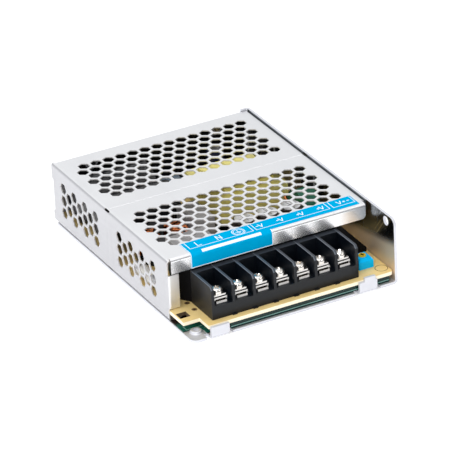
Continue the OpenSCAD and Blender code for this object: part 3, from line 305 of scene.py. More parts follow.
def cloudy(tree, shader, dark, light, scale, contrast):
    """Base colour that drifts between two shades."""
    shade = place(tree, cloud_group, Scale=scale, Contrast=contrast).outputs["Shade"]
    feed(tree, shader, "Base Color", blend_colours(tree, shade, dark, light))
    return shade


def bumpy(tree, shader, height, distance, strength):
    """A height that tilts the surface's normal."""
    bump = add(tree, "ShaderNodeBump", {"Height": height, "Distance": distance, "Strength": strength})
    feed(tree, shader, "Normal", bump.outputs[0])


def along(tree, vector, axis):
    """One of a vector's three numbers."""
    return add(tree, "ShaderNodeSeparateXYZ", {0: vector}).outputs["XYZ".index(axis)]


def facing(tree, axis):
    """How far the true surface looks along an axis of the part, from -1 to 1."""
    return along(tree, tree.nodes.new("ShaderNodeNewGeometry").outputs["True Normal"], axis)


def place_along(tree, axis):
    """Where the surface is along an axis of the part, in metres."""
    return along(tree, spot_on_part(tree), axis)


def looks(tree, axis, low, high):
    """A mask that goes from 0 to 1 as the surface turns towards or away from an axis."""
    return threshold(tree, facing(tree, axis), low, high)


def edge_on(tree, axis, low, high):
    """A mask that goes from 0 to 1 as the surface turns square to an axis, as a cut edge is."""
    return threshold(tree, maths(tree, "ABSOLUTE", facing(tree, axis)), low, high)


def past(tree, axis, low, high):
    """A mask that goes from 0 to 1 between two places along an axis, in metres."""
    return threshold(tree, place_along(tree, axis), low, high)


def dress(material, *names):
    """Gives a material to CAD nodes."""
    for name in names:
        slots = nodes[name].data.materials
        slots.clear()
        slots.append(material)


print("finish helpers ready")

# %% [markdown]
# The cover is satin: it mirrors the pale room softly, so it looks light grey and
# even. It could be a flat metal colour, but real sheet has rolling lines and rub marks, so these drive the
# roughness and a very small bump. Cut edges are paler than the faces, the left wall gets a painted shade that
# makes it darker, and the lip at the front is smoother.

# %% Sheet metal of the cover
SHEET_LINES, SHEET_RUBS, RUB_SHARE = 900.0, 40.0, 0.35
LINE_STRENGTH = 0.3
SKIN, SKIN_EDGE = 0.49 * MM, 0.98
LIP_FROM, LIP_STEP = 21.8 * MM, 0.01 * MM
CUT, LEFTWARD = (0.6, 0.4), (-0.5, -0.7)
COVER_SHINE, COVER_BUMP, COVER_CLOUD = (0.36, 0.5), 0.02, (38.0, 0.3)
COVER_DARK, COVER_LIGHT = (0.84, 0.84, 0.855), (0.91, 0.91, 0.92)
COVER_LEFT_SHADE, COVER_CUT = (0.58, 0.58, 0.60), (0.80, 0.78, 0.77)
LIP_ROUGHNESS, CUT_ROUGHNESS, CUT_METAL = 0.25, 0.5, 0.6


def sheet_metal(name, colour, rough_low, rough_high, line_bump):
    """Folded plated sheet with rolling lines and rub marks."""
    material, tree, shader = new_material(name, colour, rough_high, 1.0)
    sheet = place(tree, sheet_group, Lines=SHEET_LINES, Rubs=SHEET_RUBS)
    rubs = maths(tree, "MULTIPLY", sheet.outputs["Rubs"], RUB_SHARE)
    worn = maths(tree, "ADD", sheet.outputs["Lines"], rubs)
    feed(tree, shader, "Roughness", blend_values(tree, worn, rough_low, rough_high))
    bumpy(tree, shader, sheet.outputs["Lines"], line_bump * MM, LINE_STRENGTH)
    return material, tree, shader


cover_low, cover_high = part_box("cover")
cover_metal, tree, shader = sheet_metal("cover_metal", COVER_LIGHT, *COVER_SHINE, COVER_BUMP)
cloudy(tree, shader, COVER_DARK, COVER_LIGHT, *COVER_CLOUD)
in_top = past(tree, "Z", cover_high.z - SKIN, cover_high.z - SKIN_EDGE * SKIN)
in_side = past(tree, "X", cover_low.x + SKIN, cover_low.x + SKIN_EDGE * SKIN)
cut_edge = either(tree, both(tree, in_top, edge_on(tree, "Z", *CUT)),
                  both(tree, in_side, edge_on(tree, "X", *CUT)))
# Painted shade: faces that look left get a darker colour.
left_wall_shade = looks(tree, "X", *LEFTWARD)
on_lip = both(tree, looks(tree, "Y", *AGAINST_AXIS), past(tree, "Z", LIP_FROM, LIP_FROM + LIP_STEP))
face_colour = blend_colours(tree, left_wall_shade, fed(shader, "Base Color"), COVER_LEFT_SHADE)
face_shine = blend_values(tree, on_lip, fed(shader, "Roughness"), LIP_ROUGHNESS)
feed(tree, shader, "Base Color", blend_colours(tree, cut_edge, face_colour, COVER_CUT))
feed(tree, shader, "Metallic", blend_values(tree, cut_edge, 1.0, CUT_METAL))
feed(tree, shader, "Roughness", blend_values(tree, cut_edge, face_shine, CUT_ROUGHNESS))
dress(cover_metal, "cover")
print("cover dressed, skin in mm:", round(SKIN / MM, 2))

# %% [markdown]
# The chassis is brighter sheet. The inner face of its right wall is half a mirror, and what it shows is
# painted:
# a warm painted reflection of the board next to the board, and a darker painted shade, clearer and scratched
# towards the top. A true mirror could show that by itself, but only if all that it mirrors were right, so it
# is part of the finish: one sloping mask drives colour, metal and roughness together, and a noise that is
# turned and drawn out gives the scratches.

# %% Sheet metal of the chassis
CHASSIS_LIGHT, CHASSIS_SHINE, CHASSIS_BUMP = (0.84, 0.83, 0.82), (0.14, 0.3), 0.01
OUTSIDE_TONE, BASE_TONE = (0.72, 0.725, 0.77), (0.58, 0.58, 0.60)
OUTSIDE_METAL, OUTSIDE_ROUGHNESS = 0.55, 0.5
BASE_FROM, BASE_TO = 4 * MM, 3 * MM
WALL_REACH, WALL_STEP = 2 * MM, 0.1 * MM
# Painted reflection of the board low on the inner wall, painted shade higher up; the scratch tone is real wear.
WALL_BOARD_REFLECTION, WALL_TOP_SHADE, WALL_SCRATCH = (0.78, 0.64, 0.49), (0.22, 0.24, 0.26), (0.60, 0.62, 0.64)
WALL_METAL, WALL_ROUGHNESS = 0.75, 0.5
SHADE_SLOPE = 0.19
SHADE_FROM, SHADE_TO = 4.5 * MM, 10.0 * MM
SCRATCH_SLANT = math.radians(-39.5)
SCRATCH_PITCH, SCRATCH_RUN = 0.9 * MM, 60.0
SCRATCH_LOW, SCRATCH_HIGH = 0.52, 0.66
SCRATCH_FROM, SCRATCH_TO = -46 * MM, -52 * MM
chassis_metal, tree, shader = sheet_metal("chassis_metal", CHASSIS_LIGHT, *CHASSIS_SHINE, CHASSIS_BUMP)
wall_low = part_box("chassis")[1].x - WALL_REACH
inner_wall = both(tree, looks(tree, "X", *AGAINST_AXIS), past(tree, "X", wall_low, wall_low + WALL_STEP))
rise = maths(tree, "MULTIPLY", place_along(tree, "Y"), SHADE_SLOPE)
shaded = threshold(tree, maths(tree, "ADD", place_along(tree, "Z"), rise), SHADE_FROM, SHADE_TO)
scratch_turn = add(tree, "ShaderNodeVectorRotate", {"Vector": spot_on_part(tree), "Angle": SCRATCH_SLANT},
                   rotation_type="X_AXIS")
scratch_place = add(tree, "ShaderNodeMapping", {"Vector": scratch_turn.outputs[0],
                                                "Scale": (1.0, 1 / SCRATCH_PITCH, SCRATCH_RUN)})
scratch_noise = noise(tree, scratch_place.outputs[0], scale=1.0, detail=1.0)
scratched = both(tree, threshold(tree, scratch_noise, SCRATCH_LOW, SCRATCH_HIGH),
                 past(tree, "Y", SCRATCH_FROM, SCRATCH_TO))
# The inner wall's colour is a painted reflection and a painted shade, with real scratches in the shaded part.
wall_painted_reflection = blend_colours(tree, both(tree, scratched, shaded),
                          blend_colours(tree, shaded, WALL_BOARD_REFLECTION, WALL_TOP_SHADE), WALL_SCRATCH)
wall_metal = blend_values(tree, shaded, WALL_METAL, 1.0)
wall_shine = blend_values(tree, shaded, WALL_ROUGHNESS, fed(shader, "Roughness"))
base_top = both(tree, looks(tree, "Z", *ALONG_AXIS), past(tree, "Z", BASE_FROM, BASE_TO))
outside = blend_colours(tree, base_top, OUTSIDE_TONE, BASE_TONE)
feed(tree, shader, "Base Color", blend_colours(tree, inner_wall, outside, wall_painted_reflection))
feed(tree, shader, "Metallic", blend_values(tree, inner_wall, OUTSIDE_METAL, wall_metal))
feed(tree, shader, "Roughness", blend_values(tree, inner_wall, OUTSIDE_ROUGHNESS, wall_shine))
dress(chassis_metal, "chassis")
print("chassis dressed, inner wall from x in mm:", round(wall_low / MM, 2))

# %% [markdown]
# Plastics and laminates come next. A moulding is never one flat colour: it has a fine grain, a slight cloud
# in its shade and soft gloss. One function makes them all from two close colours and a roughness, and where
# it matters from the grain's scale, its depth in mm and the gloss, in that order. A table holds those that
# need no mask, each with the nodes that it dresses.

# %% Plain mouldings, laminates and coatings
GRAIN, GRAIN_DEPTH, GRAIN_STRENGTH = 2600.0, 0.02, 0.4
GLOSS, ROUGH_DRIFT = 0.5, 0.15
MOULDED_CLOUD = (140.0, 0.3)


def moulded(name, dark, light, roughness, grain=GRAIN, depth=GRAIN_DEPTH, gloss=GLOSS):
    """Plastic with a fine grain and a slightly cloudy shade."""
    material, tree, shader = new_material(name, light, roughness, Specular_IOR_Level=gloss)
    shade = cloudy(tree, shader, dark, light, *MOULDED_CLOUD)
    texture = place(tree, grain_group, Scale=grain)
    drift = (roughness * (1 - ROUGH_DRIFT), roughness * (1 + ROUGH_DRIFT))
    feed(tree, shader, "Roughness", blend_values(tree, shade, *drift))
    bumpy(tree, shader, texture.outputs["Height"], depth * MM, GRAIN_STRENGTH)
    return material, tree, shader


MOULDINGS = {
    # The barrier and rear sheets are coloured near black, darker than fibre is, as painted shade inside the
    # case.
    "fibre_black": (((0.002, 0.002, 0.003), (0.005, 0.005, 0.006), 0.6, 1500.0, 0.03, 0.12),
                    ("barrier_sheet", "rear_sheet")),
    "device_black": (((0.012, 0.012, 0.014), (0.024, 0.024, 0.026), 0.5),
                     ("bridge_rectifier", "switch_transistor", "output_rectifier", "control_chip")),
    "trimmer_blue": (((0.0, 0.47, 0.95), (0.0, 0.55, 1.0), 0.38, GRAIN, GRAIN_DEPTH, 0.1), ("trimmer_body",)),
    "box_grey": (((0.34, 0.33, 0.335), (0.42, 0.41, 0.415), 0.45), ("filter_capacitors",)),
    "disc_blue": (((0.02, 0.09, 0.36), (0.04, 0.15, 0.5), 0.3, 1200.0, 0.03), ("safety_capacitors",)),
    "thermistor_dark": (((0.010, 0.02, 0.014), (0.02, 0.035, 0.025), 0.5, 1500.0, 0.05),
                        ("inrush_thermistor",)),
    "ring_green": (((0.006, 0.10, 0.055), (0.015, 0.17, 0.10), 0.5, 2000.0, 0.04), ("output_choke_core",)),
    "ferrite_dark": (((0.035, 0.035, 0.038), (0.07, 0.07, 0.075), 0.55, 3000.0, 0.04),
                     ("filter_choke_core", "transformer_core")),
    "pad_grey": (((0.42, 0.45, 0.47), (0.52, 0.55, 0.57), 0.7, 1800.0, 0.03), ("thermal_pads",)),
    "opto_white": (((0.72, 0.72, 0.70), (0.84, 0.84, 0.82), 0.5), ("optocoupler",)),
    "resistor_grey": (((0.22, 0.29, 0.38), (0.32, 0.40, 0.50), 0.45), ("power_resistors",)),
    "tape_yellow": (((0.72, 0.63, 0.16), (0.88, 0.80, 0.30), 0.3, 700.0, 0.03),
                    ("transformer_winding", "transformer_tape")),
    "label_blue": (((0.0, 0.355, 0.65), (0.0, 0.395, 0.72), 0.4, 1600.0, 0.008, 0.0), ("front_label",)),
}
for name, (finish, dressed) in MOULDINGS.items():
    dress(moulded(name, *finish)[0], *dressed)
print("plain mouldings on", sum(len(dressed) for finish, dressed in MOULDINGS.values()), "nodes")

# %% [markdown]
# The terminal block is glossy black, and what stands out are the painted highlights on the crests of its ribs
# and back wall. A crest looks up, lies high and its painted highlight is brightest at a rib. Each rib could
# have a mask of its own, but the ribs come at one pitch, so the remainder of a division finds them all.

# %% Terminal block with painted highlights on its crests
RIB_PITCH, RIB_EDGE, RIB_SOFT = 9.7 * MM, 0.5 * MM, 0.6
CREST_FROM, CREST_TO, UPWARD = 18 * MM, 19 * MM, (0.3, 0.6)
CREST_HIGHLIGHT, BETWEEN_RIBS = (0.13, 0.15, 0.18), 0.3
block_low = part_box("terminal_block")[0]
block_black, tree, shader = moulded("block_black", (0.001, 0.0025, 0.005), (0.003, 0.005, 0.009),
                                    roughness=0.38, grain=3200.0, gloss=0.36)
from_end = maths(tree, "SUBTRACT", place_along(tree, "X"), block_low.x)
at_rib = threshold(tree, maths(tree, "MODULO", from_end, RIB_PITCH), RIB_EDGE, RIB_SOFT * RIB_EDGE)
high_up = both(tree, past(tree, "Z", CREST_FROM, CREST_TO), blend_values(tree, at_rib, BETWEEN_RIBS, 1.0))
# Painted highlight: faces that look up and lie high, brightest at a rib, take a paler colour.
crest_highlight = both(tree, looks(tree, "Z", *UPWARD), high_up)
feed(tree, shader, "Base Color", blend_colours(tree, crest_highlight, fed(shader, "Base Color"), CREST_HIGHLIGHT))
dress(block_black, "terminal_block", "filter_choke_carrier", "transformer_bobbin")
print("terminal block dressed from x in mm:", round(block_low.x / MM, 2))

# %% [markdown]
# The film on the base is dark green and shiny. Its front edge is turned up and gets a painted shade, and so
# does what lies under the board, where hardly any light reaches. The lamps alone leave both too green, so two
# masks paint the shade on.

# %% Insulating film
TURNED_EDGE_SHADE, UNDER_BOARD_SHADE = (0.003, 0.022, 0.020), (0.018, 0.012, 0.012)
UNDER_FROM, UNDER_TO, FORWARD = -50 * MM, -46 * MM, (-0.5, -0.9)
film_green, tree, shader = moulded("film_green", (0.005, 0.085, 0.062), (0.012, 0.13, 0.10),
                                   roughness=0.25, grain=900.0, depth=0.01, gloss=0.3)
turned_up = looks(tree, "Y", *FORWARD)
under_board = past(tree, "Y", UNDER_FROM, UNDER_TO)
# Painted shade on the turned-up front edge and on the film under the board.
film_with_edge_shade = blend_colours(tree, turned_up, fed(shader, "Base Color"), TURNED_EDGE_SHADE)
feed(tree, shader, "Base Color", blend_colours(tree, under_board, film_with_edge_shade, UNDER_BOARD_SHADE))
dress(film_green, "insulating_sheet")
print("film dressed, dark behind y in mm:", round(UNDER_TO / MM, 1))

# %% [markdown]
# The adjuster's yellow rotor has a cross recess whose shade is painted dark. The recess is in the solid
# already, so its finish only has to be dark where a point is both near the axis and below the top.

# %% Rotor of the adjuster
RECESS_REACH, RECESS_SOFT = 1.3 * MM, 0.97
SUNK_FROM, SUNK_TO = 0.02 * MM, 0.06 * MM
RECESS_SHADE = (0.10, 0.06, 0.005)
rotor_low, rotor_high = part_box("trimmer_rotor")
rotor_middle = (rotor_low + rotor_high) / 2
trimmer_yellow, tree, shader = moulded("trimmer_yellow", (0.72, 0.46, 0.01), (0.86, 0.60, 0.02),
                                       roughness=0.42)
squares = [maths(tree, "POWER", maths(tree, "SUBTRACT", place_along(tree, axis), middle), 2.0)
           for axis, middle in (("X", rotor_middle.x), ("Y", rotor_middle.y))]
from_axis = maths(tree, "SQRT", maths(tree, "ADD", *squares))
in_recess = both(tree, threshold(tree, from_axis, RECESS_REACH, RECESS_SOFT * RECESS_REACH),
                 past(tree, "Z", rotor_high.z - SUNK_FROM, rotor_high.z - SUNK_TO))
# Painted shade: the cross recess is coloured dark.
feed(tree, shader, "Base Color", blend_colours(tree, in_recess, fed(shader, "Base Color"), RECESS_SHADE))
dress(trimmer_yellow, "trimmer_rotor")
print("rotor dressed, axis in mm:", [round(c / MM, 2) for c in rotor_middle[:2]])

# %% [markdown]
# The circuit board is a paper laminate: tan, a little cloudy, with paler sawn edges. The edges need no second
# material: the true normal tells a face from an edge, so a mask from it picks the paler colour. In the small
# window and the pin holes the edges get a dark brown painted shade.

# %% Board with paler sawn edges
EDGE_CREAM, HOLE_EDGE_SHADE = (1.0, 0.90, 0.68), (0.10, 0.07, 0.04)
WINDOW = ((-47.8, -42.8), (-51.8, -46.8))
PIN_HOLES = ((-39.8, -38.0), (-48.3, -40.1))
SAWN = (0.7, 0.3)
SHARP_STEP = 1e-5


def within(tree, spans):
    """1 where the surface lies between two places along X and along Y, in mm."""
    masks = []
    for axis, (low, high) in zip("XY", spans):
        masks.append(both(tree, past(tree, axis, low * MM - SHARP_STEP, low * MM),
                          past(tree, axis, high * MM + SHARP_STEP, high * MM)))
    return both(tree, *masks)


board_tan, tree, shader = moulded("board_tan", (0.80, 0.58, 0.22), (0.90, 0.68, 0.30),
                                  roughness=0.4, grain=1500.0, depth=0.015)
sawn = edge_on(tree, "Z", *SAWN)
# Painted shade: sawn edges in the window and pin holes are coloured dark brown.
hole_edge_shade = both(tree, either(tree, within(tree, WINDOW), within(tree, PIN_HOLES)), sawn)
board_edges = blend_colours(tree, sawn, fed(shader, "Base Color"), EDGE_CREAM)
feed(tree, shader, "Base Color", blend_colours(tree, hole_edge_shade, board_edges, HOLE_EDGE_SHADE))
dress(board_tan, "circuit_board")
print("board dressed, window in mm:", WINDOW)

# %% [markdown]
# Small bright metal parts: tin on the terminals, zinc on the screws, spring strip, enamelled copper. Plating
# is smooth but not a perfect mirror, so the roughness drifts with the cloudy shade. The front edges of the
# terminal plates and washers are sheared, and their near-white, hardly metallic colour is a painted highlight.

# %% Plated terminals, screws and springs
PLATED_CLOUD = (420.0, 0.25)
SHEARED_EDGE_HIGHLIGHT, SHEARED_METAL, FRONT_EDGE = (0.95, 0.93, 0.90), 0.15, (-0.9, -0.98)


def plated(name, dark, light, rough_low, rough_high):
    """Bright metal with a cloudy shine."""
    material, tree, shader = new_material(name, light, rough_low, 1.0)
    shade = cloudy(tree, shader, dark, light, *PLATED_CLOUD)
    feed(tree, shader, "Roughness", blend_values(tree, shade, rough_low, rough_high))
    return material, tree, shader


washer_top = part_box("terminal_washers")[1].z
tin_plate, tree, shader = plated("tin_plate", (0.66, 0.62, 0.57), (0.90, 0.87, 0.83), 0.12, 0.24)
# Painted highlight: the sheared front edges take a near-white, hardly metallic colour.
sheared_front_highlight = both(tree, looks(tree, "Y", *FRONT_EDGE), past(tree, "Z", washer_top + SHARP_STEP, washer_top))
feed(tree, shader, "Base Color", blend_colours(tree, sheared_front_highlight, fed(shader, "Base Color"), SHEARED_EDGE_HIGHLIGHT))
feed(tree, shader, "Metallic", blend_values(tree, sheared_front_highlight, 1.0, SHEARED_METAL))
dress(tin_plate, "terminal_plates", "terminal_clamps", "terminal_washers", "terminal_screws")
screw_steel = plated("screw_steel", (0.62, 0.62, 0.64), (0.80, 0.80, 0.82), 0.18, 0.34)[0]
dress(screw_steel, "board_posts", "board_screws", "cover_screws", "clamp_screws")
spring_steel = plated("spring_steel", (0.5, 0.5, 0.52), (0.68, 0.68, 0.70), 0.22, 0.4)[0]
dress(spring_steel, "clamp_springs")
copper_wire = plated("copper_wire", (0.42, 0.11, 0.035), (0.70, 0.25, 0.10), 0.2, 0.35)[0]
dress(copper_wire, "filter_choke_windings", "output_choke_winding")
print("plated parts dressed")

# %% [markdown]
# Capacitors have a sleeve that is shrunk over an aluminium can, so their tops are bright and their sides dark.
# The fuse is a ceramic tube with plated caps. Each needs two finishes on one solid, and again a mask does that:
# the normal for a can's top, the place along the tube for a fuse's caps.

# %% Sleeved cans and the fuse
CAN_END, FUSE_CAP_TONE = (0.82, 0.82, 0.84), (0.78, 0.78, 0.80)
FUSE_CAP, FUSE_STEP = 5 * MM, 0.05 * MM


def metal_ends(tree, shader, mask, colour):
    """Bare metal of one colour where a mask is 1."""
    feed(tree, shader, "Base Color", blend_colours(tree, mask, fed(shader, "Base Color"), colour))
    feed(tree, shader, "Metallic", mask)


for name, dark, light, end_axis, can in (
        ("sleeve_brown", (0.018, 0.012, 0.009), (0.034, 0.024, 0.018), "Z", "output_capacitors"),
        ("sleeve_navy", (0.008, 0.012, 0.04), (0.016, 0.024, 0.07), "Z", "supply_capacitor"),
        ("sleeve_black", (0.006, 0.006, 0.008), (0.014, 0.014, 0.017), "X", "bulk_capacitors")):
    sleeve, tree, shader = moulded(name, dark, light, roughness=0.3, grain=1800.0, depth=0.01)
    metal_ends(tree, shader, looks(tree, end_axis, *ALONG_AXIS), CAN_END)
    dress(sleeve, can)

fuse_low, fuse_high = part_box("input_fuse")
fuse_ceramic, tree, shader = moulded("fuse_ceramic", (0.74, 0.72, 0.68), (0.86, 0.84, 0.80),
                                     roughness=0.4)
fuse_middle = (fuse_low.y + fuse_high.y) / 2
from_middle = maths(tree, "ABSOLUTE", maths(tree, "SUBTRACT", place_along(tree, "Y"), fuse_middle))
cap_start = (fuse_high.y - fuse_low.y) / 2 - FUSE_CAP
metal_ends(tree, shader, threshold(tree, from_middle, cap_start, cap_start + FUSE_STEP), FUSE_CAP_TONE)
dress(fuse_ceramic, "input_fuse")
bare = [n for n in nodes if not nodes[n].data.materials or nodes[n].data.materials[0] is None]
print("nodes without a finish:", bare)

# %% [markdown]
# The label's marks are print: thin white strokes that say which terminal is which. A texture could hold them,
# but strokes as flat ribbons of mesh stay sharp at any distance. Each mark is a few lines in millimetres on a
# small grid, so one helper turns any polyline into a ribbon that lies just above a surface.

# %% Mesh helpers: finish a piece, and lay flat ribbons along lines
MARK_LIFT, MARK_FOOT = 0.015 * MM, 0.2
SAME_SPOT = 1e-6


def finish_piece(name, mesh_maker, material, body="case", smooth=False, replaced=()):
    """Makes an object from a bmesh, gives it a finish and lets it ride on a body."""
    mesh = bpy.data.meshes.new(name)
    mesh_maker.normal_update()
    mesh_maker.to_mesh(mesh)
    mesh_maker.free()
    for face in mesh.polygons:
        face.use_smooth = smooth
    piece = in_scene(name, mesh)
    mesh.materials.append(material)
    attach(piece, body)
    if replaced:
        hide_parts(*replaced)
    print(name, "faces:", len(mesh.polygons))


def raised(lift):
    """Height over a surface in metres: a ribbon's foot has lift 0, its face lift 1 or a little more."""
    return (lift + MARK_FOOT) * MARK_LIFT


def ribbon(bm, points, width, surface, layer=0.0):
    """A flat mitred strip along (u, v) points in mm; surface places (u, v, lift) in the part's frame."""
    line = [Vector(p) for p in points]
    closed = (line[0] - line[-1]).length < SAME_SPOT
    if closed:
        line.pop()
    runs = [(b - a).normalized() for a, b in zip(line, line[1:] + line[:1])]
    if not closed:
        runs[-1] = runs[-2]
    rails = []
    for i, spot in enumerate(line):
        before = runs[i - 1] if closed or i else runs[0]
        mitre = (before + runs[i]).normalized()
        side = Vector((-mitre.y, mitre.x)) * (width / 2 / mitre.dot(before))
        rails.append([bm.verts.new(surface(*(spot + s * side), lift))
                      for lift in (0, 1 + layer) for s in (-1, 1)])
    for a, b in zip(rails, rails[1:] + rails[:1] if closed else rails[1:]):
        for j, k in ((2, 3), (1, 0), (0, 2), (3, 1)):
            bm.faces.new((a[j], b[j], b[k], a[k]))
    if not closed:
        bm.faces.new([rails[0][j] for j in (1, 0, 2, 3)])
        bm.faces.new([rails[-1][j] for j in (0, 1, 3, 2)])


def arc(u, v, radius, start, sweep, steps):
    """Points along an arc, with angles in degrees."""
    angles = [math.radians(start + sweep * i / steps) for i in range(steps + 1)]
    return [(u + radius * math.cos(a), v + radius * math.sin(a)) for a in angles]


def circle(u, v, radius, steps):
    """Points round a circle, the last on the first."""
    return arc(u, v, radius, 0, 360, steps)


print("mesh helpers ready")

# %% [markdown]
# The label lies on the cover's top and folds down over the lip. A flat sheet of marks could be bent with a
# modifier, but a function from label to part is exact: v runs back to front over the top, round the bend and
# down the lip. The terminals' places come from the screws in the frame.

# %% Surface of the label and places of the terminals
FOLD_R = 1.62
FOLD_RIGHT = 1.3
BEND = FOLD_R * math.pi / 2
TERMINALS = 7
label_low, label_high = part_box("front_label")
terminal_low, terminal_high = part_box("terminal_screws")
trimmer_low, trimmer_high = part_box("trimmer_body")
fold_y = label_low.y / MM + FOLD_R
lip_v = fold_y - BEND - (label_high.z - label_low.z) / MM + FOLD_R
head_across = terminal_high.y - terminal_low.y
terminal_first = terminal_low.x + head_across / 2
terminal_pitch = (terminal_high.x - terminal_low.x - head_across) / (TERMINALS - 1)
terminal_xs = [(terminal_first + i * terminal_pitch) / MM for i in range(TERMINALS)]
trimmer_x = (trimmer_low.x + trimmer_high.x) / 2 / MM


def on_label(u, v, lift):
    """A place on the label: from fold_y forwards, v runs round the bend and down the lip."""
    forward = max(0.0, fold_y - v)
    angle = min(forward, BEND) / FOLD_R
    radius = FOLD_R * MM + raised(lift)
    return Vector((u * MM, max(v, fold_y) * MM - radius * math.sin(angle),
                   label_high.z + (radius * math.cos(angle) - FOLD_R * MM)
                   - max(0.0, forward - BEND) * MM))


def round_bend(u, steps=10):
    """Points down the bend at one place along it."""
    return [(u, fold_y - BEND * i / steps) for i in range(steps + 1)]


print("bend of the label from y", round(fold_y, 2), "to the lip's lower edge at v", round(lip_v, 2))
print("terminals at x in mm:", [round(x, 2) for x in terminal_xs])

# %% [markdown]
# The marks themselves are generic: L and N for the line, the sign for earth, minus or plus with V for the
# outputs, and V with plus and minus for the adjuster. Text objects could draw them, but their strokes would
# follow a font. Here each function returns lines, so that one loop can lay them all.

# %% Shapes of the printed marks
MARK_Y, MARK_H, MARK_W = -36.3, 3.4, 2.0
MARK_LOW, MARK_HIGH = MARK_Y - MARK_H / 2, MARK_Y + MARK_H / 2
SIGN_Y, SIGN_DROP, SIGN_HALF = -36.0, 0.1 * MARK_H, 0.6
V_LOW, V_H = SIGN_Y - MARK_H / 2, 0.8 * MARK_H
EARTH_BARS, EARTH_RINGS, EARTH_STEM = ((1.3, 0.1), (0.9, 0.7), (0.45, 1.3)), (2.2, 2.8), (-0.1, 1.6)
BRACKET_BACK, BRACKET_FRONT = -33.3, -39.0


def letter_l(x):
    left, right = x - MARK_W / 2, x + MARK_W / 2
    return [[(left, MARK_HIGH), (left, MARK_LOW), (right, MARK_LOW)]]


def letter_n(x):
    left, right = x - MARK_W / 2, x + MARK_W / 2
    return [[(left, MARK_LOW), (left, MARK_HIGH)], [(right, MARK_LOW), (right, MARK_HIGH)],
            [(left, MARK_HIGH), (right, MARK_LOW)]]


def letter_v(x):
    return [[(x + side * MARK_W / 2, V_LOW + V_H), (x, V_LOW)] for side in (-1, 1)]


def sign(x, plus):
    y = SIGN_Y - SIGN_DROP
    lines = [[(x - SIGN_HALF, y), (x + SIGN_HALF, y)]]
    return lines + [[(x, y - SIGN_HALF), (x, y + SIGN_HALF)]] if plus else lines


def earth_sign(x):
    bars = [[(x - half, MARK_Y - drop), (x + half, MARK_Y - drop)] for half, drop in EARTH_BARS]
    rings = [circle(x, MARK_Y, radius, steps=40) for radius in EARTH_RINGS]
    return bars + rings + [[(x, MARK_Y + end) for end in EARTH_STEM]]


def bracket(x0, x1):
    """A line round the front of a group of marks, open to the back."""
    return [[(x0, BRACKET_BACK), (x0, BRACKET_FRONT), (x1, BRACKET_FRONT), (x1, BRACKET_BACK)]]


print("marks between y", BRACKET_FRONT, "and", BRACKET_BACK)

# %% [markdown]
# Each mark stands a little to the right of its terminal. Lines that cross get slightly different heights,
# because two faces in one plane would flicker. A thin border runs round the part of the label that is folded
# over the lip, and a plain bar lies on the bend.

# %% Printed marks on the label
STROKE, FINE_STROKE, BORDER = 0.4, 0.27, 0.3
L_SHIFT, N_SHIFT, EARTH_SHIFT, SIGN_SHIFT, V_SHIFT = 1.5, 1.4, 1.0, 0.2, 1.9
ADJUSTER_V, ADJUSTER_PLUS, ADJUSTER_MINUS = -1.6, 0.6, 2.6
BRACKETS = ((-35.2, -5.5), (-3.95, 31.0), (32.8, label_high.x / MM - 0.7))
LAYER_STEP, LAYERS = 0.12, 4
BAR_X0, BAR_X1, BAR_POINTS = -31.5, -3.7, 7
marks = letter_l(terminal_xs[0] + L_SHIFT) + letter_n(terminal_xs[1] + N_SHIFT)
for index, plus in ((3, False), (4, False), (5, True), (6, True)):
    marks += sign(terminal_xs[index] + SIGN_SHIFT, plus) + letter_v(terminal_xs[index] + V_SHIFT)
marks += letter_v(trimmer_x + ADJUSTER_V)
marks += sign(trimmer_x + ADJUSTER_PLUS, True) + sign(trimmer_x + ADJUSTER_MINUS, False)
thin_marks = earth_sign(terminal_xs[2] + EARTH_SHIFT)
for x0, x1 in BRACKETS:
    thin_marks += bracket(x0, x1)
print_bm = bmesh.new()
for lines, width in ((marks, STROKE), (thin_marks, FINE_STROKE)):
    for index, line in enumerate(lines):
        ribbon(print_bm, line, width, on_label, LAYER_STEP * (index % LAYERS))
border_x0, border_x1 = label_low.x / MM + BORDER / 2, FOLD_RIGHT - BORDER / 2
border_v = lip_v + BORDER / 2
left_side = [(border_x0, label_high.y / MM)] + round_bend(border_x0) + [(border_x0, border_v)]
right_side = [(border_x1, border_v)] + round_bend(border_x1)[::-1]
ribbon(print_bm, left_side + right_side, BORDER, on_label)
ribbon(print_bm, round_bend((BAR_X0 + BAR_X1) / 2)[:BAR_POINTS], BAR_X1 - BAR_X0, on_label)
print_white = moulded("print_white", (0.80, 0.88, 0.94), (0.92, 0.96, 0.98), roughness=0.4)[0]
finish_piece("label_marks", print_bm, print_white)

# %% [markdown]
# More thin lines, on other surfaces: a ring printed on the board's free corner and two round pads at the pin
# holes, pale painted highlights along the folds of the film, and the cross that is scored into each
# capacitor's top so that it opens there if the pressure rises, with the shade of its groove painted dark. All
# are ribbons again, and only the surface function differs.

# %% Ring and pads on the board, painted highlights on the film's folds
RING_AT, RING_R, RING_LINE = (44.0, -58.2), 2.7, 0.3
PIN_X, PIN_YS, PAD_R, PAD_LINE = -38.925, (-47.4, -41.0), 0.95, 0.5
FILM_CREASE, CREASE_Z, CREASE_LINE = [(-46.4, -51.0), (-46.3, -54.2), (-39.1, -54.0)], 1.6 * MM, 0.5
TURN_X, TURN_Z, TURN_END, TURN_LINE = -30.0, 2.2, 0.3, 0.3


def on_level(level):
    """A surface for ribbons at a height in metres."""
    return lambda u, v, lift: Vector((u * MM, v * MM, level + raised(lift)))


board_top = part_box("circuit_board")[1].z
ring_bm = bmesh.new()
ribbon(ring_bm, circle(*RING_AT, RING_R, steps=48), RING_LINE, on_level(board_top))
for y in PIN_YS:
    ribbon(ring_bm, circle(PIN_X, y, PAD_R, steps=32), PAD_LINE, on_level(board_top))
print_brown = moulded("print_brown", (0.16, 0.09, 0.03), (0.24, 0.14, 0.05), roughness=0.5)[0]
finish_piece("board_ring", ring_bm, print_brown)

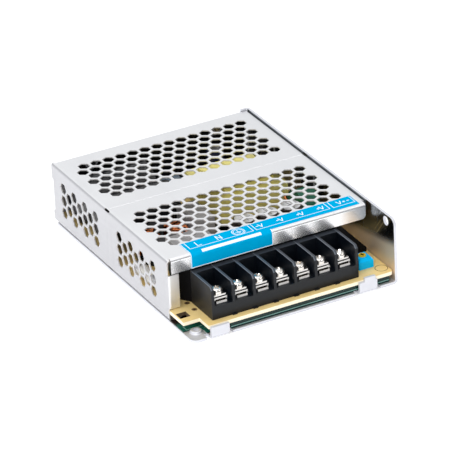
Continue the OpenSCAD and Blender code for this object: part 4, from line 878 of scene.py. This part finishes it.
film_low, film_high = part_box("insulating_sheet")


def on_turned_film(u, v, lift):
    """A place on the front of the film's turned-up edge."""
    return Vector((u * MM, film_low.y - raised(lift), v * MM))


# Pale lines along the film's folds are painted highlights.
fold_highlight_bm = bmesh.new()
ribbon(fold_highlight_bm, FILM_CREASE, CREASE_LINE, on_level(CREASE_Z))
ribbon(fold_highlight_bm, [(TURN_X, TURN_Z), (film_high.x / MM - TURN_END, TURN_Z)], TURN_LINE, on_turned_film)
film_fold_highlight = moulded("film_fold_highlight", (0.14, 0.33, 0.29), (0.20, 0.42, 0.37),
                    roughness=0.3, grain=900.0, depth=0.01)[0]
finish_piece("film_fold_highlights", fold_highlight_bm, film_fold_highlight)

# %% Scores on the capacitors
CANS = 3
SCORE_REACH, SCORE_SKEW, SCORE_LINE = 0.3, 0.2, 0.3
cans_low, cans_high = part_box("output_capacitors")
can_d = cans_high.y - cans_low.y
can_pitch = (cans_high.x - cans_low.x - can_d) / (CANS - 1)
reach = can_d * SCORE_REACH / MM
score_bm = bmesh.new()
for i in range(CANS):
    x = (cans_low.x + can_d / 2 + i * can_pitch) / MM
    y = (cans_low.y + can_d / 2) / MM
    for dx, dy in ((reach, SCORE_SKEW * reach), (-SCORE_SKEW * reach, reach)):
        ribbon(score_bm, [(x - dx, y - dy), (x + dx, y + dy)], SCORE_LINE, on_level(cans_high.z))
# Painted shade: the scored grooves are drawn as dark lines.
score_shade = plated("score_shade", (0.16, 0.16, 0.17), (0.26, 0.26, 0.27), 0.4, 0.5)[0]
finish_piece("can_scores", score_bm, score_shade)

# %% [markdown]
# A terminal screw has a rounded pan head with a cross recess, which the plain solid in the frame only hints at.
# A half outline turned about an axis gives head and thread in one mesh, and a Boolean with two crossed tapered
# bars cuts the recess. The mesh is made once and placed seven times, each turned a little, as real screws stop
# anywhere.

# %% Outline of a terminal screw
THREAD_R, THREAD_DEPTH, THREAD_PITCH = 1.7 * MM, 0.28 * MM, 0.6 * MM
CREST_AT, ROOT_AT = 0.4, 0.9
HEAD_BREAK = 0.15 * MM
RIM_TOP, CROWN_RISE, CROWN_FLAT, CROWN_STEPS = 0.42, 0.5, 0.45, 8
DOME_R, DOME_Z = 0.25, 0.98
head_r = head_across / 2
head_h = terminal_high.z - washer_top
shank = washer_top - terminal_low.z
root_r = THREAD_R - THREAD_DEPTH
outline = [(0, -shank), (root_r, -shank)]
for k in range(int(shank / THREAD_PITCH)):
    outline += [(THREAD_R, -shank + (k + CREST_AT) * THREAD_PITCH),
                (root_r, -shank + (k + ROOT_AT) * THREAD_PITCH)]
outline += [(THREAD_R, 0), (head_r - HEAD_BREAK, 0), (head_r, HEAD_BREAK), (head_r, head_h * RIM_TOP)]
for k in range(1, CROWN_STEPS + 1):
    crown = k / CROWN_STEPS * math.pi / 2
    outline.append((head_r * (CROWN_FLAT + (1 - CROWN_FLAT) * math.cos(crown)),
                    head_h * (RIM_TOP + CROWN_RISE * math.sin(crown))))
outline += [(head_r * DOME_R, head_h * DOME_Z), (0, head_h)]
print("screw outline points:", len(outline), "head in mm:", [round(c / MM, 2) for c in (2 * head_r, head_h)])

# %% Terminal screws with crowned heads and cross recesses
SCREW_STEPS = 40
ON_AXIS = 1e-9
RECESS_L, RECESS_W, RECESS_D = 1.75 * MM, 0.42 * MM, 1.3 * MM
RECESS_OVER = 0.5 * MM
FOOT_L, FOOT_W = 0.45, 0.7
SCREW_TURNS = (12, 50, 28, 70, 5, 41, 62)


def turned(bm, outline, steps):
    """Turns an outline of (radius, height) in metres about the Z axis; both its ends lie on the axis."""
    angles = [2 * math.pi * i / steps for i in range(steps)]
    rings = [[bm.verts.new((radius * math.cos(a), radius * math.sin(a), height))
              for a in (angles[:1] if radius < ON_AXIS else angles)] for radius, height in outline]
    for lower, upper in zip(rings, rings[1:]):
        for i in range(steps):
            j = (i + 1) % steps
            corners = [lower[i % len(lower)], lower[j % len(lower)],
                       upper[j % len(upper)], upper[i % len(upper)]]
            bm.faces.new(list(dict.fromkeys(corners)))


def loose_object(name, bm):
    """An object from a bmesh, for use as a step only."""
    mesh = bpy.data.meshes.new(name)
    bm.normal_update()
    bm.to_mesh(mesh)
    bm.free()
    return in_scene(name, mesh)


def cut_mesh(body, cutter):
    """The body's mesh after a Boolean cut; body and cutter go away."""
    cut = body.modifiers.new("recess", "BOOLEAN")
    cut.operation = "DIFFERENCE"
    cut.object = cutter
    cut.use_self = True
    depsgraph = bpy.context.evaluated_depsgraph_get()
    made = bpy.data.meshes.new_from_object(body.evaluated_get(depsgraph))
    for scrap in (body, cutter):
        bpy.data.objects.remove(scrap)
    return made


screw_bm = bmesh.new()
turned(screw_bm, outline, SCREW_STEPS)
recess_bm = bmesh.new()
for turn in (0, math.pi / 2):
    bar = bmesh.ops.create_cube(recess_bm, size=2)["verts"]
    for vert in bar:
        foot = vert.co.z < 0
        vert.co = Vector((vert.co.x * RECESS_L * (FOOT_L if foot else 1.0),
                          vert.co.y * RECESS_W * (FOOT_W if foot else 1.0),
                          head_h + (-RECESS_D if foot else RECESS_OVER)))
    bmesh.ops.rotate(recess_bm, verts=bar, cent=(0, 0, 0), matrix=Matrix.Rotation(turn, 3, "Z"))
screw_mesh = cut_mesh(loose_object("screw_blank", screw_bm), loose_object("recess_cutter", recess_bm))
row_bm = bmesh.new()
for x, turn in zip(terminal_xs, SCREW_TURNS):
    spot = Matrix.Translation((x * MM, (terminal_low.y + terminal_high.y) / 2, washer_top))
    part = screw_mesh.copy()
    part.transform(spot @ Matrix.Rotation(math.radians(turn), 4, "Z"))
    row_bm.from_mesh(part)
    bpy.data.meshes.remove(part)
bpy.data.meshes.remove(screw_mesh)
finish_piece("terminal_screw_heads", row_bm, tin_plate, replaced=("terminal_screws",))

# %% [markdown]
# A choke is enamelled wire wound round a ring. The solid in the frame is a smooth sleeve, which is right for
# collision but looks like plastic. The wire's middle line is a rounded rectangle round the ring's section that
# walks along the ring as it goes: a curve with a round bevel makes the wire, and the turns lie side by side at
# the ring's inside.

# %% Wound chokes
WIRE_SLACK = 0.985
WIRE_ROUND = 3
CORNER_STEPS = 5
LYING = ((1, 0, 0), (0, 1, 0), (0, 0, 1))
ON_EDGE = ((0, 0, -1), (0, 1, 0), (1, 0, 0))


def section_loop(half_w, half_h, corner):
    """Points round a rounded rectangle, from the outer side's top round to its bottom."""
    points = []
    for sx, sy, start in ((1, 1, 0), (-1, 1, 90), (-1, -1, 180), (1, -1, 270)):
        points += arc(sx * (half_w - corner), sy * (half_h - corner), corner, start, 90, CORNER_STEPS)
    return points


def wire_points(loop, ring, first, sweep, turns):
    """The wire's middle line: turn after turn round the loop while it walks along the ring."""
    centre, radius, (across, along_ring, through) = ring
    points = []
    for k in range(turns * len(loop)):
        angle = math.radians(first + sweep * k / (turns * len(loop)))
        u, v = loop[k % len(loop)]
        spoke = across * math.cos(angle) + along_ring * math.sin(angle)
        points.append(centre + spoke * (radius + u) + through * v)
    return points


def wound_ring(name, core, winding, axes, starts, sweep, material):
    """Wire round a ring core, as many turns as fit at its inside; the third axis is the ring's own."""
    low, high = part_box(core)
    centre = (low + high) / 2
    axes = [Vector(a) for a in axes]
    through = axes[2]
    flat = [(v.co - centre) - through * (v.co - centre).dot(through) for v in nodes[core].data.vertices]
    outer, inner = max(v.length for v in flat), min(v.length for v in flat)
    wire = (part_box(winding)[1] - high).dot(through)
    half_h = abs((high - low).dot(through)) / 2
    loop = section_loop((outer - inner) / 2 + wire / 2, half_h + wire / 2, wire / 2)
    margin = math.degrees(wire / 2 / inner)
    wound = sweep - 2 * margin
    turns = int(math.radians(wound) * (inner - wire / 2) / wire)
    curve = bpy.data.curves.new(name, "CURVE")
    curve.dimensions = "3D"
    curve.bevel_depth = wire / 2 * WIRE_SLACK
    curve.bevel_resolution = WIRE_ROUND
    curve.use_fill_caps = True
    for start in starts:
        points = wire_points(loop, (centre, (outer + inner) / 2, axes), start + margin, wound, turns)
        spline = curve.splines.new("POLY")
        spline.points.add(len(points) - 1)
        for knot, point in zip(spline.points, points):
            knot.co = (*point, 1)
        print(name, "turns:", turns)
    blank = in_scene(name + "_curve", curve)
    mesh = bpy.data.meshes.new_from_object(blank.evaluated_get(bpy.context.evaluated_depsgraph_get()))
    bpy.data.objects.remove(blank)
    bm = bmesh.new()
    bm.from_mesh(mesh)
    bpy.data.meshes.remove(mesh)
    finish_piece(name, bm, material, smooth=True, replaced=(winding,))


wound_ring("filter_choke_wire", "filter_choke_core", "filter_choke_windings", LYING,
           starts=(-65, 115), sweep=130, material=copper_wire)
wound_ring("output_choke_wire", "output_choke_core", "output_choke_winding", ON_EDGE,
           starts=(-125,), sweep=250, material=copper_wire)
